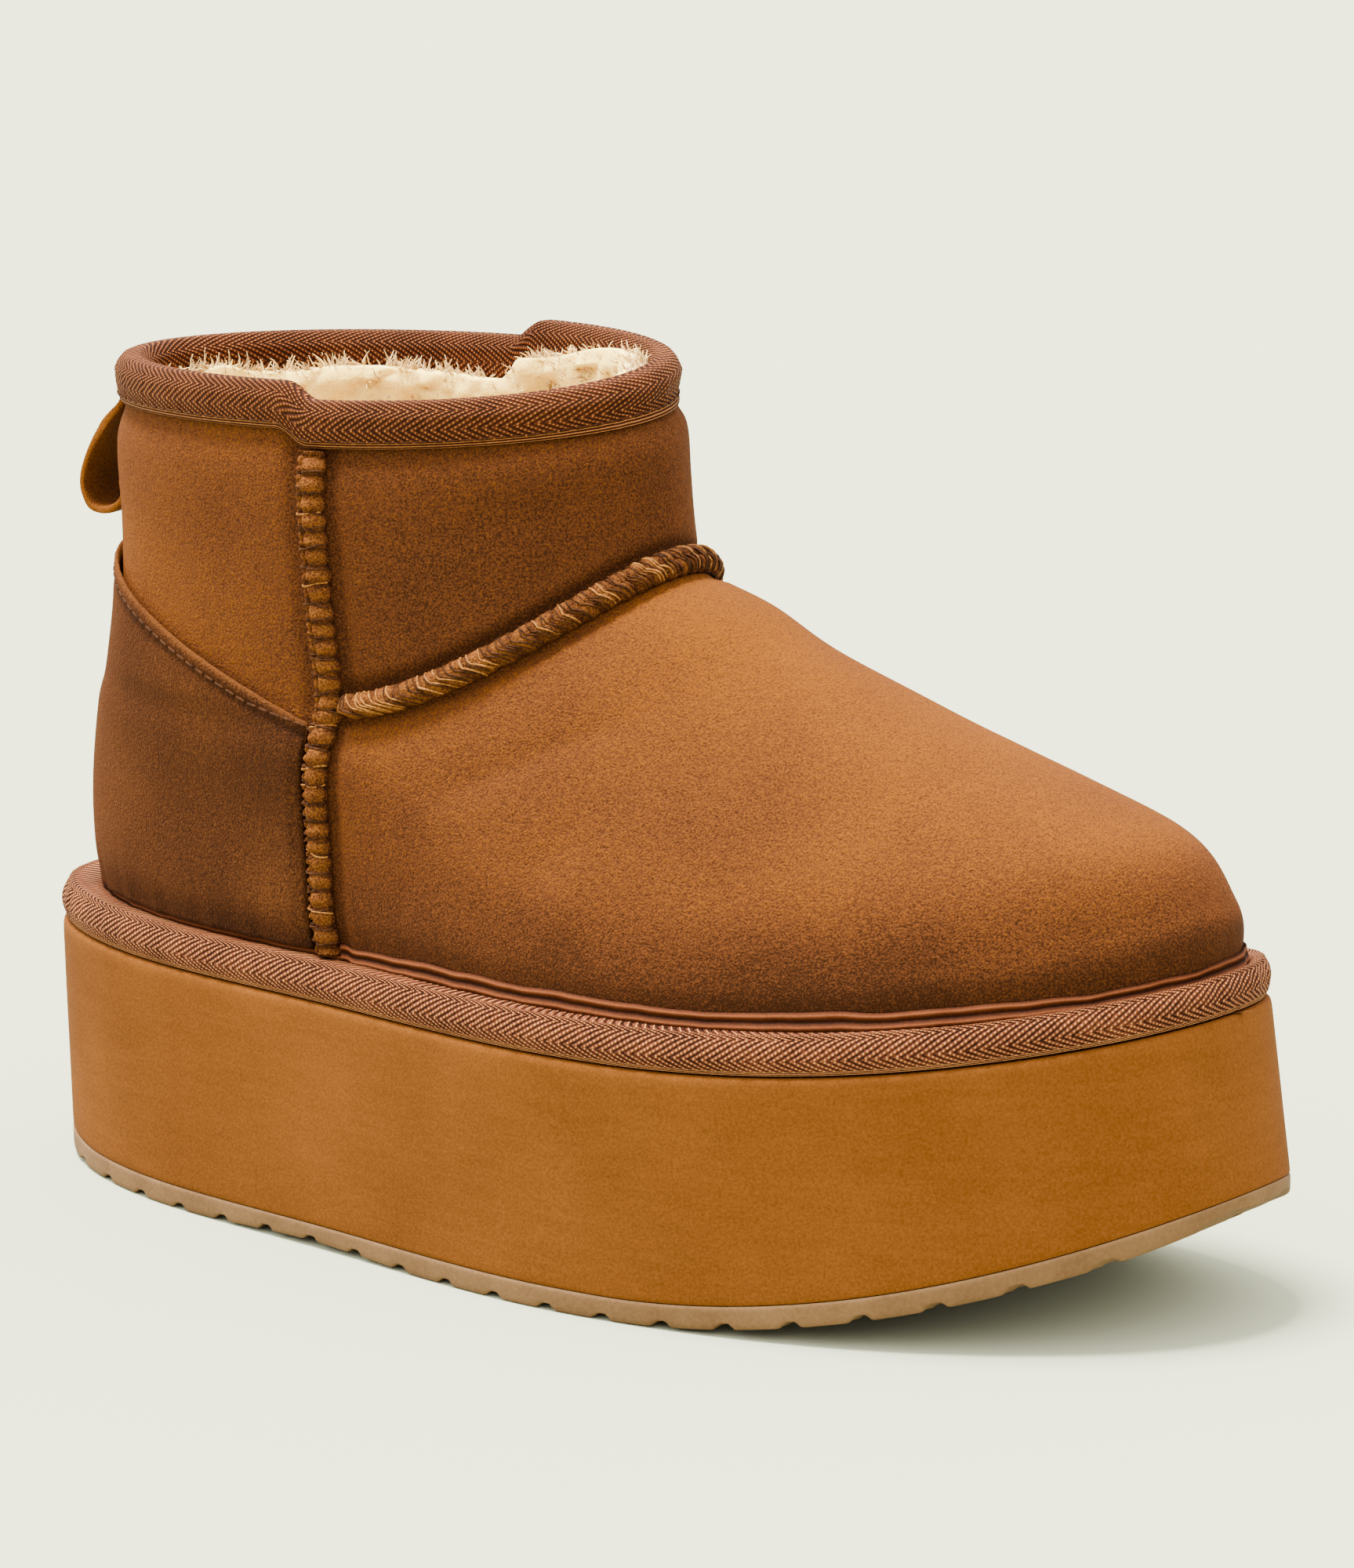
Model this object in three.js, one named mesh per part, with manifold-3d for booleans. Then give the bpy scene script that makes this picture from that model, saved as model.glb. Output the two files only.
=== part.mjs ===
// A low sheepskin boot on a platform sole, for the right foot, standing on the floor.
// Lengths are in millimetres. X runs from heel to toe, Y towards the inner side of the foot, Z up.
// The origin is on the floor, half way along the sole.
import * as THREE from 'three';
import { mergeVertices } from 'three/addons/utils/BufferGeometryUtils.js';
import Module from 'manifold-3d';

const wasm = await Module();
wasm.setup();

// Driving sizes of the sole
const soleLength = 268;
const soleWidth = 104;
const foamThickness = 43;
const outsoleThickness = 4.2;
const toeSpring = 22;
const toeThinning = 1.2;
const archRise = 1;
const heelSpring = 2.2;
const topRise = 11.7;
const toeFlare = 4.9;
const heelTaper = 1.5;
const toeSway = 8;
const foamEdge = 1;
const rubberEdge = 0.8;
const lugDepth = 1.4;
const lugPitch = 12.4;
const grooveWidth = 1.6;
const grooveSlant = 0.7;
const groovePlace = 0.65;

// Driving sizes of the upper and of what is sewn to it
const collarHeight = 112.5;
const collarTilt = 3;
const collarStep = 3.4;
const seamHeight = 53.8;
const throatHeight = 80.5;
const shaftWidth = 79;
const suedeThickness = 2.2;
const pileThickness = 6.5;
const rimWidth = 6.3;
const rimHeight = 7.6;
const rimOverhang = -0.8;
const rimInnerHeight = 6.5;
const insoleThickness = 6;
const insoleEdge = 1.5;
const bindingDepth = 6.2;
const bindingWall = 1.3;
const bindingInset = 5.6;
const bindingRise = 2.8;
const bindingShoulder = 2;
const bindingRound = 1.2;
const lockHeight = 3.2;
const lockCount = 19;
const swellCount = 7;
const lockSpread = 0.25;
const counterThickness = 1.3;
const counterTopEdge = 0.8;
const counterBackHeight = 76.5;
const counterSideHeight = 50;
const seamWidth = 6.8;
const sideRidge = 2.6;
const vampRidge = 3.8;
const loopWidth = 20;
const loopThickness = 1.6;
const loopReach = 9.6;
const loopDrop = 22.8;
const pieceGap = 0.3;
const overlayGap = 0.6;

// Shares of the way from heel to toe: where the vamp seam starts to rise, and where the collar steps
const seamRiseStart = 0.59;
const seamRiseBend = 1.7;
const stepStart = 0.52;
const stepEnd = 0.58;

const soleHeight = outsoleThickness + pieceGap + foamThickness;

// Half widths of the sole over the sine of the way round it, as shares of soleWidth
const planRows = [
  { at: 0.0, outer: 0.62, inner: 0.62 },
  { at: 0.12, outer: 0.535, inner: 0.555 },
  { at: 0.25, outer: 0.505, inner: 0.48 },
  { at: 0.4, outer: 0.48, inner: 0.425 },
  { at: 0.55, outer: 0.55, inner: 0.445 },
  { at: 0.7, outer: 0.588, inner: 0.525 },
  { at: 0.82, outer: 0.612, inner: 0.59 },
  { at: 0.92, outer: 0.65, inner: 0.645 },
  { at: 1.0, outer: 0.675, inner: 0.675 },
];

// Sections of the foot part, from the platform at 0 to the vamp seam at 1.
// back and front are shares of soleLength, oval goes from the foot's outline to the shaft's.
const footRows = [
  { at: 0.0, back: -0.4565, front: 0.4625, oval: 0, spread: 0.975 },
  { at: 0.11, back: -0.4585, front: 0.4665, oval: 0, spread: 0.995 },
  { at: 0.25, back: -0.462, front: 0.461, oval: 0.07, spread: 1.01 },
  { at: 0.45, back: -0.4645, front: 0.4205, oval: 0.25, spread: 1.01 },
  { at: 0.64, back: -0.462, front: 0.3015, oval: 0.5, spread: 1 },
  { at: 0.835, back: -0.4535, front: 0.158, oval: 0.76, spread: 1 },
  { at: 0.92, back: -0.447, front: 0.1035, oval: 0.86, spread: 0.99 },
  { at: 1.0, back: -0.4415, front: 0.037, oval: 0.93, spread: 0.985 },
];

// Sections of the shaft, from the vamp seam at 0 to the collar at 1
const shaftRows = [
  { at: 0.0, back: -0.4415, front: 0.037, oval: 0.93, spread: 0.985 },
  { at: 0.25, back: -0.434, front: 0.0325, oval: 0.98, spread: 0.995 },
  { at: 0.5, back: -0.4335, front: 0.0295, oval: 1, spread: 1 },
  { at: 0.75, back: -0.436, front: 0.025, oval: 1, spread: 1 },
  { at: 0.88, back: -0.43, front: 0.0145, oval: 1, spread: 0.97 },
  { at: 1.0, back: -0.431, front: 0.0165, oval: 1, spread: 0.97 },
];

// Run of the side seams, from the platform at 0 to the collar at 1, x in shares of soleLength
const sideSeamRows = [
  { at: 0.0, x: -0.148 },
  { at: 0.15, x: -0.157 },
  { at: 0.35, x: -0.16 },
  { at: 0.5, x: -0.155 },
  { at: 0.65, x: -0.161 },
  { at: 0.8, x: -0.166 },
  { at: 1.0, x: -0.173 },
];

// Section of the taped rim, out past the platform's edge in shares of rimWidth, up in shares of rimHeight
const rimRows = [
  { out: 0.03, up: 0.04 },
  { out: 0.13, up: 0.24 },
  { out: 0.16, up: 0.52 },
  { out: 0.04, up: 0.84 },
  { out: -0.22, up: 1 },
  { out: -0.48, up: 0.98 },
];

// Middle line of the pull loop, out from the shaft in shares of loopReach, down in shares of loopDrop
const loopRows = [
  { out: 0.11, down: 0 },
  { out: 0.2, down: 0.12 },
  { out: 0.48, down: 0.32 },
  { out: 0.8, down: 0.52 },
  { out: 0.98, down: 0.68 },
  { out: 1.0, down: 0.82 },
  { out: 0.86, down: 0.96 },
  { out: 0.58, down: 1 },
  { out: 0.3, down: 0.96 },
  { out: 0.11, down: 0.86 },
  { out: 0.11, down: 0.72 },
];

// Locks of wool that stand up inside the collar, from the tape's edge down. drop is in lockHeights
// below the collar's edge, out in pileThicknesses off the tape, and sway is what a lock adds to each.
const lockRows = [
  { drop: 1.31, dropSway: -1, out: 0.35, outSway: 0, phase: 0 },
  { drop: 1.94, dropSway: 0, out: 0.75, outSway: 0.3, phase: 0.1 },
];

// Section of a raised seam: across in half widths, up in shares of its height
const ridgeRows = [
  { across: -1, up: 0.2 },
  { across: -0.8, up: 0.63 },
  { across: -0.4, up: 0.94 },
  { across: 0, up: 1.02 },
  { across: 0.4, up: 0.94 },
  { across: 0.8, up: 0.63 },
  { across: 1, up: 0.2 },
];

// Facets along and across the surfaces
const soleFacets = 60;
const upperFacets = 52;
const footLevels = [0, 0.1, 0.2, 0.3, 0.4, 0.5, 0.61, 0.73, 0.86, 1];
const shaftLevels = [1.15, 1.45];
const innerLevels = [0, 0.15, 0.3, 0.43, 0.56, 0.7, 0.85, 1, 1.4];
const collarDrops = [2, 1, 0.5, 0];
const counterColumns = 24;
const counterRows = 6;
const sideSeamSteps = 12;
const vampSeamSteps = 24;
const loopSteps = 20;
const pileLevels = [0, 0.22, 0.44, 0.66, 0.88, 1.1, 1.5];

const clamp = THREE.MathUtils.clamp;
const lerp = THREE.MathUtils.lerp;

// Reads a column of a table on a smooth curve through its rows.
function readTable(rows, column, at) {
  const place = clamp(at, rows[0].at, rows[rows.length - 1].at);
  let i = 0;
  while (i < rows.length - 2 && place > rows[i + 1].at) i += 1;
  const slope = (j) => {
    const before = rows[Math.max(j - 1, 0)];
    const after = rows[Math.min(j + 1, rows.length - 1)];
    return (after[column] - before[column]) / (after.at - before.at);
  };
  const span = rows[i + 1].at - rows[i].at;
  const s = (place - rows[i].at) / span;
  const [a, b] = [rows[i][column], rows[i + 1][column]];
  const [ta, tb] = [slope(i) * span, slope(i + 1) * span];
  return a + s * (ta + s * (3 * (b - a) - 2 * ta - tb + s * (2 * (a - b) + ta + tb)));
}

// How far x has gone from one share of the soleLength to another, from 0 to 1.
function ramp(x, from, to) {
  return clamp((x / soleLength - from) / (to - from), 0, 1);
}

function sway(x) {
  return toeSway * ramp(x, 0, 0.5) ** 2;
}

// Height of the foam's underside over its lowest line.
function spring(x) {
  return heelSpring * ramp(x, -0.4, -0.5) ** 2 + toeSpring * ramp(x, 0.12, 0.5) ** 2;
}

// Height of the outsole's underside over the floor, with the arch and the thinner tip.
function floorClearance(x) {
  const arch = Math.sin(Math.PI * ramp(x, -0.29, -0.025)) ** 2;
  return spring(x) + archRise * arch + toeThinning * ramp(x, 0.44, 0.5) ** 2;
}

function platformTop(x) {
  return soleHeight + topRise * ramp(x, 0.12, 0.5) ** 2;
}

// Half width over the sine of the way round, on the outer side for the first half turn.
function fullness(turn) {
  const side = turn < 0.5 ? 'outer' : 'inner';
  return soleWidth * readTable(planRows, side, turn < 0.5 ? 2 * turn : 2 - 2 * turn);
}

function wrap(turn) {
  return turn - Math.floor(turn);
}

function rawPlan(turn, level) {
  const angle = 2 * Math.PI * wrap(turn);
  const x = (-soleLength / 2) * Math.cos(angle);
  const y = -Math.sin(angle) * fullness(wrap(turn)) + sway(x);
  const shift = heelTaper * (1 - level) * ramp(x, -0.3, -0.5) - toeFlare * level * ramp(x, 0.25, 0.5);
  return new THREE.Vector2(x + shift, y);
}

// A point of the sole's outline, from the heel round the outer side at turn 0 to 1.
// level is 0 at the outsole and 1 at the platform's top, and inset moves it inwards.
function planPoint(turn, inset, level) {
  const step = 1e-3;
  const p = rawPlan(turn, level);
  const along = rawPlan(turn + step, level).sub(rawPlan(turn - step, level)).normalize();
  return p.add(new THREE.Vector2(-along.y, along.x).multiplyScalar(inset));
}

// Height of the vamp seam over the platform: level round the back, rising over the instep.
function seamLine(turn) {
  const share = (1 - Math.cos(2 * Math.PI * turn)) / 2;
  const past = clamp((share - seamRiseStart) / (1 - seamRiseStart), 0, 1);
  return lerp(seamHeight, throatHeight, past ** seamRiseBend);
}

// Height of the collar's edge over the platform. In front of the side seams it sits lower
// on the outer side and higher on the inner side.
function rimLine(turn) {
  const share = (1 - Math.cos(2 * Math.PI * turn)) / 2;
  const step = THREE.MathUtils.smoothstep(share, stepStart, stepEnd) * Math.sin(2 * Math.PI * turn);
  return collarHeight + collarTilt * (share - 0.5) - collarStep * step;
}

// Where the side seams pass a height over the platform.
function sideSeamX(height) {
  return soleLength * readTable(sideSeamRows, 'x', height / collarHeight);
}

// The upper's outer surface: level 0 at the platform, 1 on the vamp seam, 2 at the collar.
function skin(turn, level) {
  const rows = level < 1 ? footRows : shaftRows;
  const at = level < 1 ? level : level - 1;
  const angle = 2 * Math.PI * wrap(turn);
  const back = soleLength * readTable(rows, 'back', at);
  const front = soleLength * readTable(rows, 'front', at);
  const x = lerp(back, front, (1 - Math.cos(angle)) / 2);
  const foot = fullness(wrap(turn)) - rimWidth;
  const half = lerp(foot, shaftWidth / 2, readTable(rows, 'oval', at)) * readTable(rows, 'spread', at);
  const seam = seamLine(turn);
  const height = pieceGap + (level < 1 ? seam * at : lerp(seam, rimLine(turn), at));
  const lift = (platformTop(x) - soleHeight) * (1 - height / collarHeight);
  return new THREE.Vector3(x, -Math.sin(angle) * half + sway(x), soleHeight + height + lift);
}

// A point off the upper's surface, outwards for a positive offset.
function skinPoint(turn, level, offset) {
  const step = 2e-3;
  const low = Math.max(level - 4 * step, 0);
  const high = Math.min(level + 4 * step, 2);
  const round = skin(turn + step, level).sub(skin(turn - step, level));
  const up = skin(turn, high).sub(skin(turn, low));
  const normal = round.cross(up).normalize();
  normal.z *= clamp(level / 0.25, 0, 1);
  return skin(turn, level).add(normal.normalize().multiplyScalar(offset));
}

// The level at which the upper reaches a height over the platform.
function levelAt(turn, height) {
  const seam = seamLine(turn);
  return height < seam ? height / seam : 1 + (height - seam) / (rimLine(turn) - seam);
}

// The level a number of bindingDepths below the collar's edge.
function dropped(turn, depths) {
  return levelAt(turn, rimLine(turn) - depths * bindingDepth);
}

// The turn at which the upper's section at a height passes x, on the outer side.
function turnAt(x, height) {
  let turn = 0.25;
  for (let i = 0; i < 12; i += 1) {
    const level = levelAt(turn, height);
    const rows = level < 1 ? footRows : shaftRows;
    const at = level < 1 ? level : level - 1;
    const back = soleLength * readTable(rows, 'back', at);
    const front = soleLength * readTable(rows, 'front', at);
    turn = Math.acos(1 - 2 * clamp((x - back) / (front - back), 0, 1)) / (2 * Math.PI);
  }
  return turn;
}

// Turns round a ring of facets, a half step off the heel so that the two sides pair up.
function turns(count) {
  return Array.from({ length: count }, (_, i) => (i + 0.5) / count);
}

function ring(count, place) {
  return turns(count).map(place);
}

function steps(count) {
  return Array.from({ length: count + 1 }, (_, i) => i / count);
}

// A closed body through equal sections. Joined ends make a tube that meets itself,
// and otherwise each end is closed by strips between the two halves of its section.
function loft(sections, joined = false) {
  const count = sections[0].length;
  const last = joined ? sections.length : sections.length - 1;
  const faces = [];
  for (let i = 0; i < last; i += 1) {
    const next = (i + 1) % sections.length;
    for (let j = 0; j < count; j += 1) {
      const k = (j + 1) % count;
      const [a, b, c, d] = [i * count + j, i * count + k, next * count + k, next * count + j];
      const points = [a, b, c, d].map((n) => sections[Math.floor(n / count)][n % count]);
      const short = points[0].distanceTo(points[2]) < points[1].distanceTo(points[3]);
      faces.push(...(short ? [a, b, c, a, c, d] : [a, b, d, b, c, d]));
    }
  }
  if (!joined) {
    const end = (sections.length - 1) * count;
    for (let j = 0; j < count / 2 - 1; j += 1) {
      const [a, b, c, d] = [j, j + 1, count - 2 - j, count - 1 - j];
      faces.push(a, c, b, a, d, c);
      faces.push(end + a, end + b, end + c, end + a, end + c, end + d);
    }
  }
  const geometry = new THREE.BufferGeometry();
  geometry.setFromPoints(sections.flat());
  geometry.setIndex(faces);
  return facingOut(mergeVertices(geometry));
}

// Turns every face round if the body is inside out.
function facingOut(geometry) {
  const p = geometry.attributes.position;
  const index = geometry.index.array;
  const corner = (i) => new THREE.Vector3().fromBufferAttribute(p, index[i]);
  let volume = 0;
  for (let i = 0; i < index.length; i += 3) {
    volume += corner(i).dot(corner(i + 1).cross(corner(i + 2)));
  }
  if (volume < 0) {
    for (let i = 0; i < index.length; i += 3) {
      [index[i + 1], index[i + 2]] = [index[i + 2], index[i + 1]];
    }
  }
  return geometry;
}

function solid(geometry) {
  return new wasm.Manifold(
    new wasm.Mesh({
      numProp: 3,
      vertProperties: new Float32Array(geometry.attributes.position.array),
      triVerts: new Uint32Array(geometry.index.array),
    }),
  );
}

function geometryOf(manifold) {
  const mesh = manifold.getMesh();
  const geometry = new THREE.BufferGeometry();
  geometry.setAttribute('position', new THREE.BufferAttribute(mesh.vertProperties, 3));
  geometry.setIndex(new THREE.BufferAttribute(mesh.triVerts, 1));
  return geometry;
}

// A ring of the sole at a height given by a function of x.
function soleRing(inset, level, heightAt) {
  return ring(soleFacets, (turn) => {
    const p = planPoint(turn, inset, level);
    return new THREE.Vector3(p.x, p.y, heightAt(p.x));
  });
}

// Rubber outsole: a thin slab that follows the toe spring, with grooves between its lugs.
function outsole() {
  const slab = loft([
    soleRing(rubberEdge, 0, (x) => floorClearance(x)),
    soleRing(0, 0, (x) => floorClearance(x) + lugDepth),
    soleRing(0, 0, (x) => spring(x) + outsoleThickness),
  ]);
  let cut = solid(slab);
  const grooves = Math.floor(soleLength / lugPitch / 2);
  for (let i = -grooves; i < grooves; i += 1) {
    const x = (i + groovePlace) * lugPitch;
    const slope = Math.atan((floorClearance(x + 1) - floorClearance(x - 1)) / 2);
    const bar = groove();
    bar.rotateY(-slope);
    bar.translate(x, 0, floorClearance(x));
    cut = cut.subtract(solid(bar));
  }
  return geometryOf(cut);
}

// A bar across the sole with slanted sides, for cutting one groove.
function groove() {
  const half = grooveWidth / 2;
  const corners = [
    new THREE.Vector2(-half, lugDepth),
    new THREE.Vector2(-half - 2 * grooveSlant, -lugDepth),
    new THREE.Vector2(half + grooveSlant, -lugDepth),
    new THREE.Vector2(half, lugDepth),
  ];
  const bar = new THREE.ExtrudeGeometry(new THREE.Shape(corners), { depth: 2 * soleWidth, bevelEnabled: false });
  bar.rotateX(Math.PI / 2);
  bar.translate(0, soleWidth, 0);
  bar.deleteAttribute('normal');
  bar.deleteAttribute('uv');
  return mergeVertices(bar);
}

// Foam platform between the outsole and the upper.
function platform() {
  const bottom = (x) => spring(x) + outsoleThickness + pieceGap;
  return loft([
    soleRing(foamEdge, 0, (x) => bottom(x)),
    soleRing(0, 0, (x) => bottom(x) + foamEdge),
    soleRing(0, 1, (x) => platformTop(x) - foamEdge),
    soleRing(foamEdge, 1, (x) => platformTop(x)),
  ]);
}

// Taped rim that runs round the upper on the platform's edge.
function rim() {
  const low = (turn) => levelAt(turn, pieceGap);
  const high = (turn) => levelAt(turn, rimInnerHeight);
  const outer = rimRows.map((row) =>
    ring(soleFacets, (turn) => {
      const p = planPoint(turn, -(row.out * rimWidth + (row.out > 0 ? rimOverhang - pieceGap : 0)), 1);
      return new THREE.Vector3(p.x, p.y, platformTop(p.x) + row.up * rimHeight);
    }),
  );
  const inner = [high, low].map((level) => ring(soleFacets, (turn) => skinPoint(turn, level(turn), overlayGap)));
  return loft([...outer, ...inner], true);
}

// Suede upper, open at the collar and underneath.
function upper() {
  const band = (levels, offset) => [
    ...levels.map((level) => ring(upperFacets, (turn) => skinPoint(turn, level, offset))),
    ...collarDrops.map((drop) => ring(upperFacets, (turn) => skinPoint(turn, dropped(turn, drop), offset))),
  ];
  const outside = band([...footLevels, ...shaftLevels], 0);
  const inside = band(innerLevels, -suedeThickness);
  return loft([...outside, ...inside.toReversed()], true);
}

// How far a lock of wool stands out of the pile, from 0 to 1.
function lock(turn, phase) {
  const wave = Math.cos(2 * Math.PI * (lockCount * turn + phase));
  return 0.5 + 0.35 * wave + 0.15 * Math.cos(2 * Math.PI * (swellCount * turn + phase));
}

// Sheepskin pile that lines the upper and stands up in locks inside the collar.
function pile() {
  const back = suedeThickness + 1.5 * pieceGap;
  const tapeBack = bindingInset + pieceGap;
  const tapeFoot = (turn) => levelAt(turn, rimLine(turn) - bindingDepth - 2 * pieceGap);
  const below = (turn, drop) => levelAt(turn, rimLine(turn) - drop);
  const outside = [
    ...innerLevels.map((level) => ring(upperFacets, (turn) => skinPoint(turn, level, -back))),
    ring(upperFacets, (turn) => skinPoint(turn, dropped(turn, 2), -back)),
    ring(upperFacets, (turn) => skinPoint(turn, tapeFoot(turn), -back)),
    ring(upperFacets, (turn) => skinPoint(turn, tapeFoot(turn), -tapeBack)),
    ring(upperFacets, (turn) => skinPoint(turn, below(turn, lockHeight + 1), -tapeBack)),
  ];
  const locks = lockRows.map((row) =>
    ring(upperFacets, (turn) => {
      const drop = lockHeight * (row.drop + row.dropSway * lock(turn, row.phase));
      const out = pileThickness * (row.out + row.outSway * lock(turn, row.phase));
      return skinPoint(turn, below(turn, drop), -(tapeBack + out));
    }),
  );
  const foot = ring(upperFacets, (turn) =>
    skinPoint(turn, below(turn, bindingDepth), -(back + pileThickness * (1 + lockSpread * lock(turn, 0.5)))),
  );
  const inside = pileLevels
    .toReversed()
    .map((level) => ring(upperFacets, (turn) => skinPoint(turn, level, -(back + pileThickness))));
  return loft([...outside, ...locks, foot, ...inside], true);
}

// Sheepskin footbed on the platform, inside the pile.
function insole() {
  const edge = -(suedeThickness + pileThickness + 1.5 * pieceGap + overlayGap);
  const layer = (inset, height) =>
    ring(soleFacets, (turn) => {
      const p = skinPoint(turn, 0, edge - inset);
      return new THREE.Vector3(p.x, p.y, platformTop(p.x) + height);
    });
  return loft([
    layer(insoleEdge / 2, pieceGap),
    layer(0, pieceGap + insoleEdge / 2),
    layer(0, insoleThickness - insoleEdge),
    layer(insoleEdge, insoleThickness),
  ]);
}

// Height of the counter's top edge over the platform.
function counterLine(x) {
  const back = footRows[footRows.length - 1].back * soleLength;
  const share = clamp((x - back) / (sideSeamX(seamHeight) - back), 0, 1);
  return lerp(counterBackHeight, counterSideHeight, share);
}

// Suede panel over the heel, between the two side seams.
function heelCounter() {
  const foot = rimHeight + 2 * pieceGap;
  const side = (height) => sideSeamX(height) - seamWidth / 2 - 2 * pieceGap;
  const sections = steps(counterColumns).map((share) => {
    const middle = turnAt(side(seamHeight), seamHeight) * (1 - 2 * share);
    const top = counterLine(skin(middle, 1).x);
    const place = (s, offset) => {
      const height = lerp(foot, top, s);
      const turn = turnAt(side(height), height) * (1 - 2 * share);
      return skinPoint(turn, levelAt(turn, height), offset);
    };
    const outside = steps(counterRows).map((s) => place(s, overlayGap + lerp(counterThickness, counterTopEdge, s ** 4)));
    const inside = steps(counterRows).map((s) => place(s, overlayGap));
    return [...outside, ...inside.toReversed()];
  });
  return loft(sections);
}

// Section of a raised seam across a path on the skin: a low dome over its own foot.
function ridgeSection(foot, height) {
  const out = [-1, 1].reduce((sum, s) => sum.add(foot(s, 1)).sub(foot(s, 0)), new THREE.Vector3());
  out.normalize();
  const dome = ridgeRows.map((row) => foot(row.across, overlayGap).addScaledVector(out, height * row.up));
  return [...dome, ...[1, 0.5, 0, -0.5, -1].map((s) => foot(s, overlayGap))];
}

// Raised seam down the side of the boot, on the outer side for a sign of 1.
function sideSeam(sign) {
  const low = rimHeight + 2 * pieceGap;
  const edges = [-1, 1].map((s) => turnAt(sideSeamX(collarHeight) + s * seamWidth, collarHeight));
  const collar = Math.min(...edges.map((turn) => rimLine(sign * turn)));
  const high = collar - bindingDepth - 3 * pieceGap;
  const sections = steps(sideSeamSteps).map((share) => {
    const height = lerp(low, high, share);
    const middle = turnAt(sideSeamX(height), height);
    const level = levelAt(middle, height);
    const around = skin(middle + 1e-3, level).distanceTo(skin(middle - 1e-3, level)) / 2e-3;
    return ridgeSection((s, offset) => {
      const turn = middle + (s * seamWidth) / 2 / around;
      return skinPoint(sign * turn, levelAt(sign * turn, height), offset);
    }, sideRidge);
  });
  return loft(sections);
}

// Raised seam over the instep, between the two side seams.
function vampSeam() {
  const start = turnAt(sideSeamX(seamHeight) + seamWidth / 2 + 4 * pieceGap, seamHeight);
  const sections = steps(vampSeamSteps).map((share) => {
    const turn = lerp(start, 1 - start, share);
    const upwards = skin(turn, 1.02).distanceTo(skin(turn, 1)) / 0.02;
    const downwards = skin(turn, 1).distanceTo(skin(turn, 0.98)) / 0.02;
    return ridgeSection((s, offset) => {
      const shift = (s * seamWidth) / 2;
      return skinPoint(turn, 1 + shift / (s > 0 ? upwards : downwards), offset);
    }, vampRidge);
  });
  return loft(sections);
}

// Woven tape folded over the collar's edge.
function collarBinding() {
  const over = (rise, offset) =>
    ring(upperFacets, (turn) => skinPoint(turn, 2, offset).add(new THREE.Vector3(0, 0, rise)));
  const at = (drop, offset) => ring(upperFacets, (turn) => skinPoint(turn, dropped(turn, drop), offset));
  const outer = pieceGap + bindingWall;
  const inner = -bindingInset;
  const hollow = -(suedeThickness + pieceGap);
  return loft(
    [
      at(1, outer - bindingWall / 3),
      at(0.5, outer),
      at(0.05, outer + bindingWall / 4),
      over(bindingShoulder, outer - bindingRound),
      over(bindingRise, (outer + inner) / 2),
      over(bindingShoulder, inner + bindingRound),
      at(0.05, inner),
      at(1, inner),
      at(1, hollow),
      at(0.5, hollow),
      over(pieceGap, hollow),
      over(pieceGap, pieceGap),
      at(0.5, pieceGap),
      at(1, pieceGap),
    ],
    true,
  );
}

// Suede pull loop at the back of the shaft, sewn under the collar's tape. Its ends follow the
// shaft, and its free part is straight across.
function pullLoop() {
  const top = rimLine(0) - bindingDepth - 2 * pieceGap - loopThickness / 2;
  const line = new THREE.SplineCurve(
    loopRows.map((row) => new THREE.Vector2(row.out * loopReach + pieceGap, top - row.down * loopDrop)),
  );
  const sections = steps(loopSteps).map((share) => {
    const p = line.getPoint(share);
    const along = line.getTangent(share);
    const side = new THREE.Vector2(-along.y, along.x).multiplyScalar(loopThickness / 2);
    const edge = (s, sign) => {
      const q = p.clone().addScaledVector(side, sign);
      const off = Math.max(q.x, pieceGap);
      const y = (s * loopWidth) / 2;
      const turn = turnAcross(y, q.y);
      const bent = skinPoint(turn, levelAt(turn, q.y), off);
      const flat = skinPoint(0, levelAt(0, q.y), off).setY(y);
      return bent.lerp(flat, THREE.MathUtils.smoothstep(off / loopReach, 0.2, 0.7));
    };
    const across = [-1, -0.6, 0, 0.6, 1];
    return [...across.map((s) => edge(s, 1)), ...across.toReversed().map((s) => edge(s, -1))];
  });
  return loft(sections);
}

// The turn near the heel at which the upper's section at a height is y to the side.
function turnAcross(y, height) {
  let turn = 0;
  for (let i = 0; i < 8; i += 1) {
    const level = levelAt(turn, height);
    const slope = (skin(1e-3, level).y - skin(-1e-3, level).y) / 2e-3;
    turn += (y - skin(turn, level).y) / slope;
  }
  return turn;
}

const suede = { color: 0x9a5f2c, roughness: 0.95, metalness: 0 };
const tape = { color: 0xa0653a, roughness: 0.85, metalness: 0 };
const foam = { color: 0xb57524, roughness: 0.8, metalness: 0 };
const rubber = { color: 0xa98a68, roughness: 0.7, metalness: 0 };
const wool = { color: 0xe9dcb8, roughness: 1, metalness: 0 };

const boot = new THREE.Group();

function add(name, geometry, finish) {
  const mesh = new THREE.Mesh(geometry, new THREE.MeshStandardMaterial(finish));
  mesh.name = name;
  boot.add(mesh);
}

add('outsole', outsole(), rubber);
add('platform', platform(), foam);
add('rim_tape', rim(), tape);
add('upper', upper(), suede);
add('wool_lining', pile(), wool);
add('insole', insole(), wool);
add('heel_counter', heelCounter(), suede);
add('side_seam_outer', sideSeam(1), suede);
add('side_seam_inner', sideSeam(-1), suede);
add('vamp_seam', vampSeam(), suede);
add('collar_tape', collarBinding(), tape);
add('pull_loop', pullLoop(), suede);

export default boot;
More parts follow.
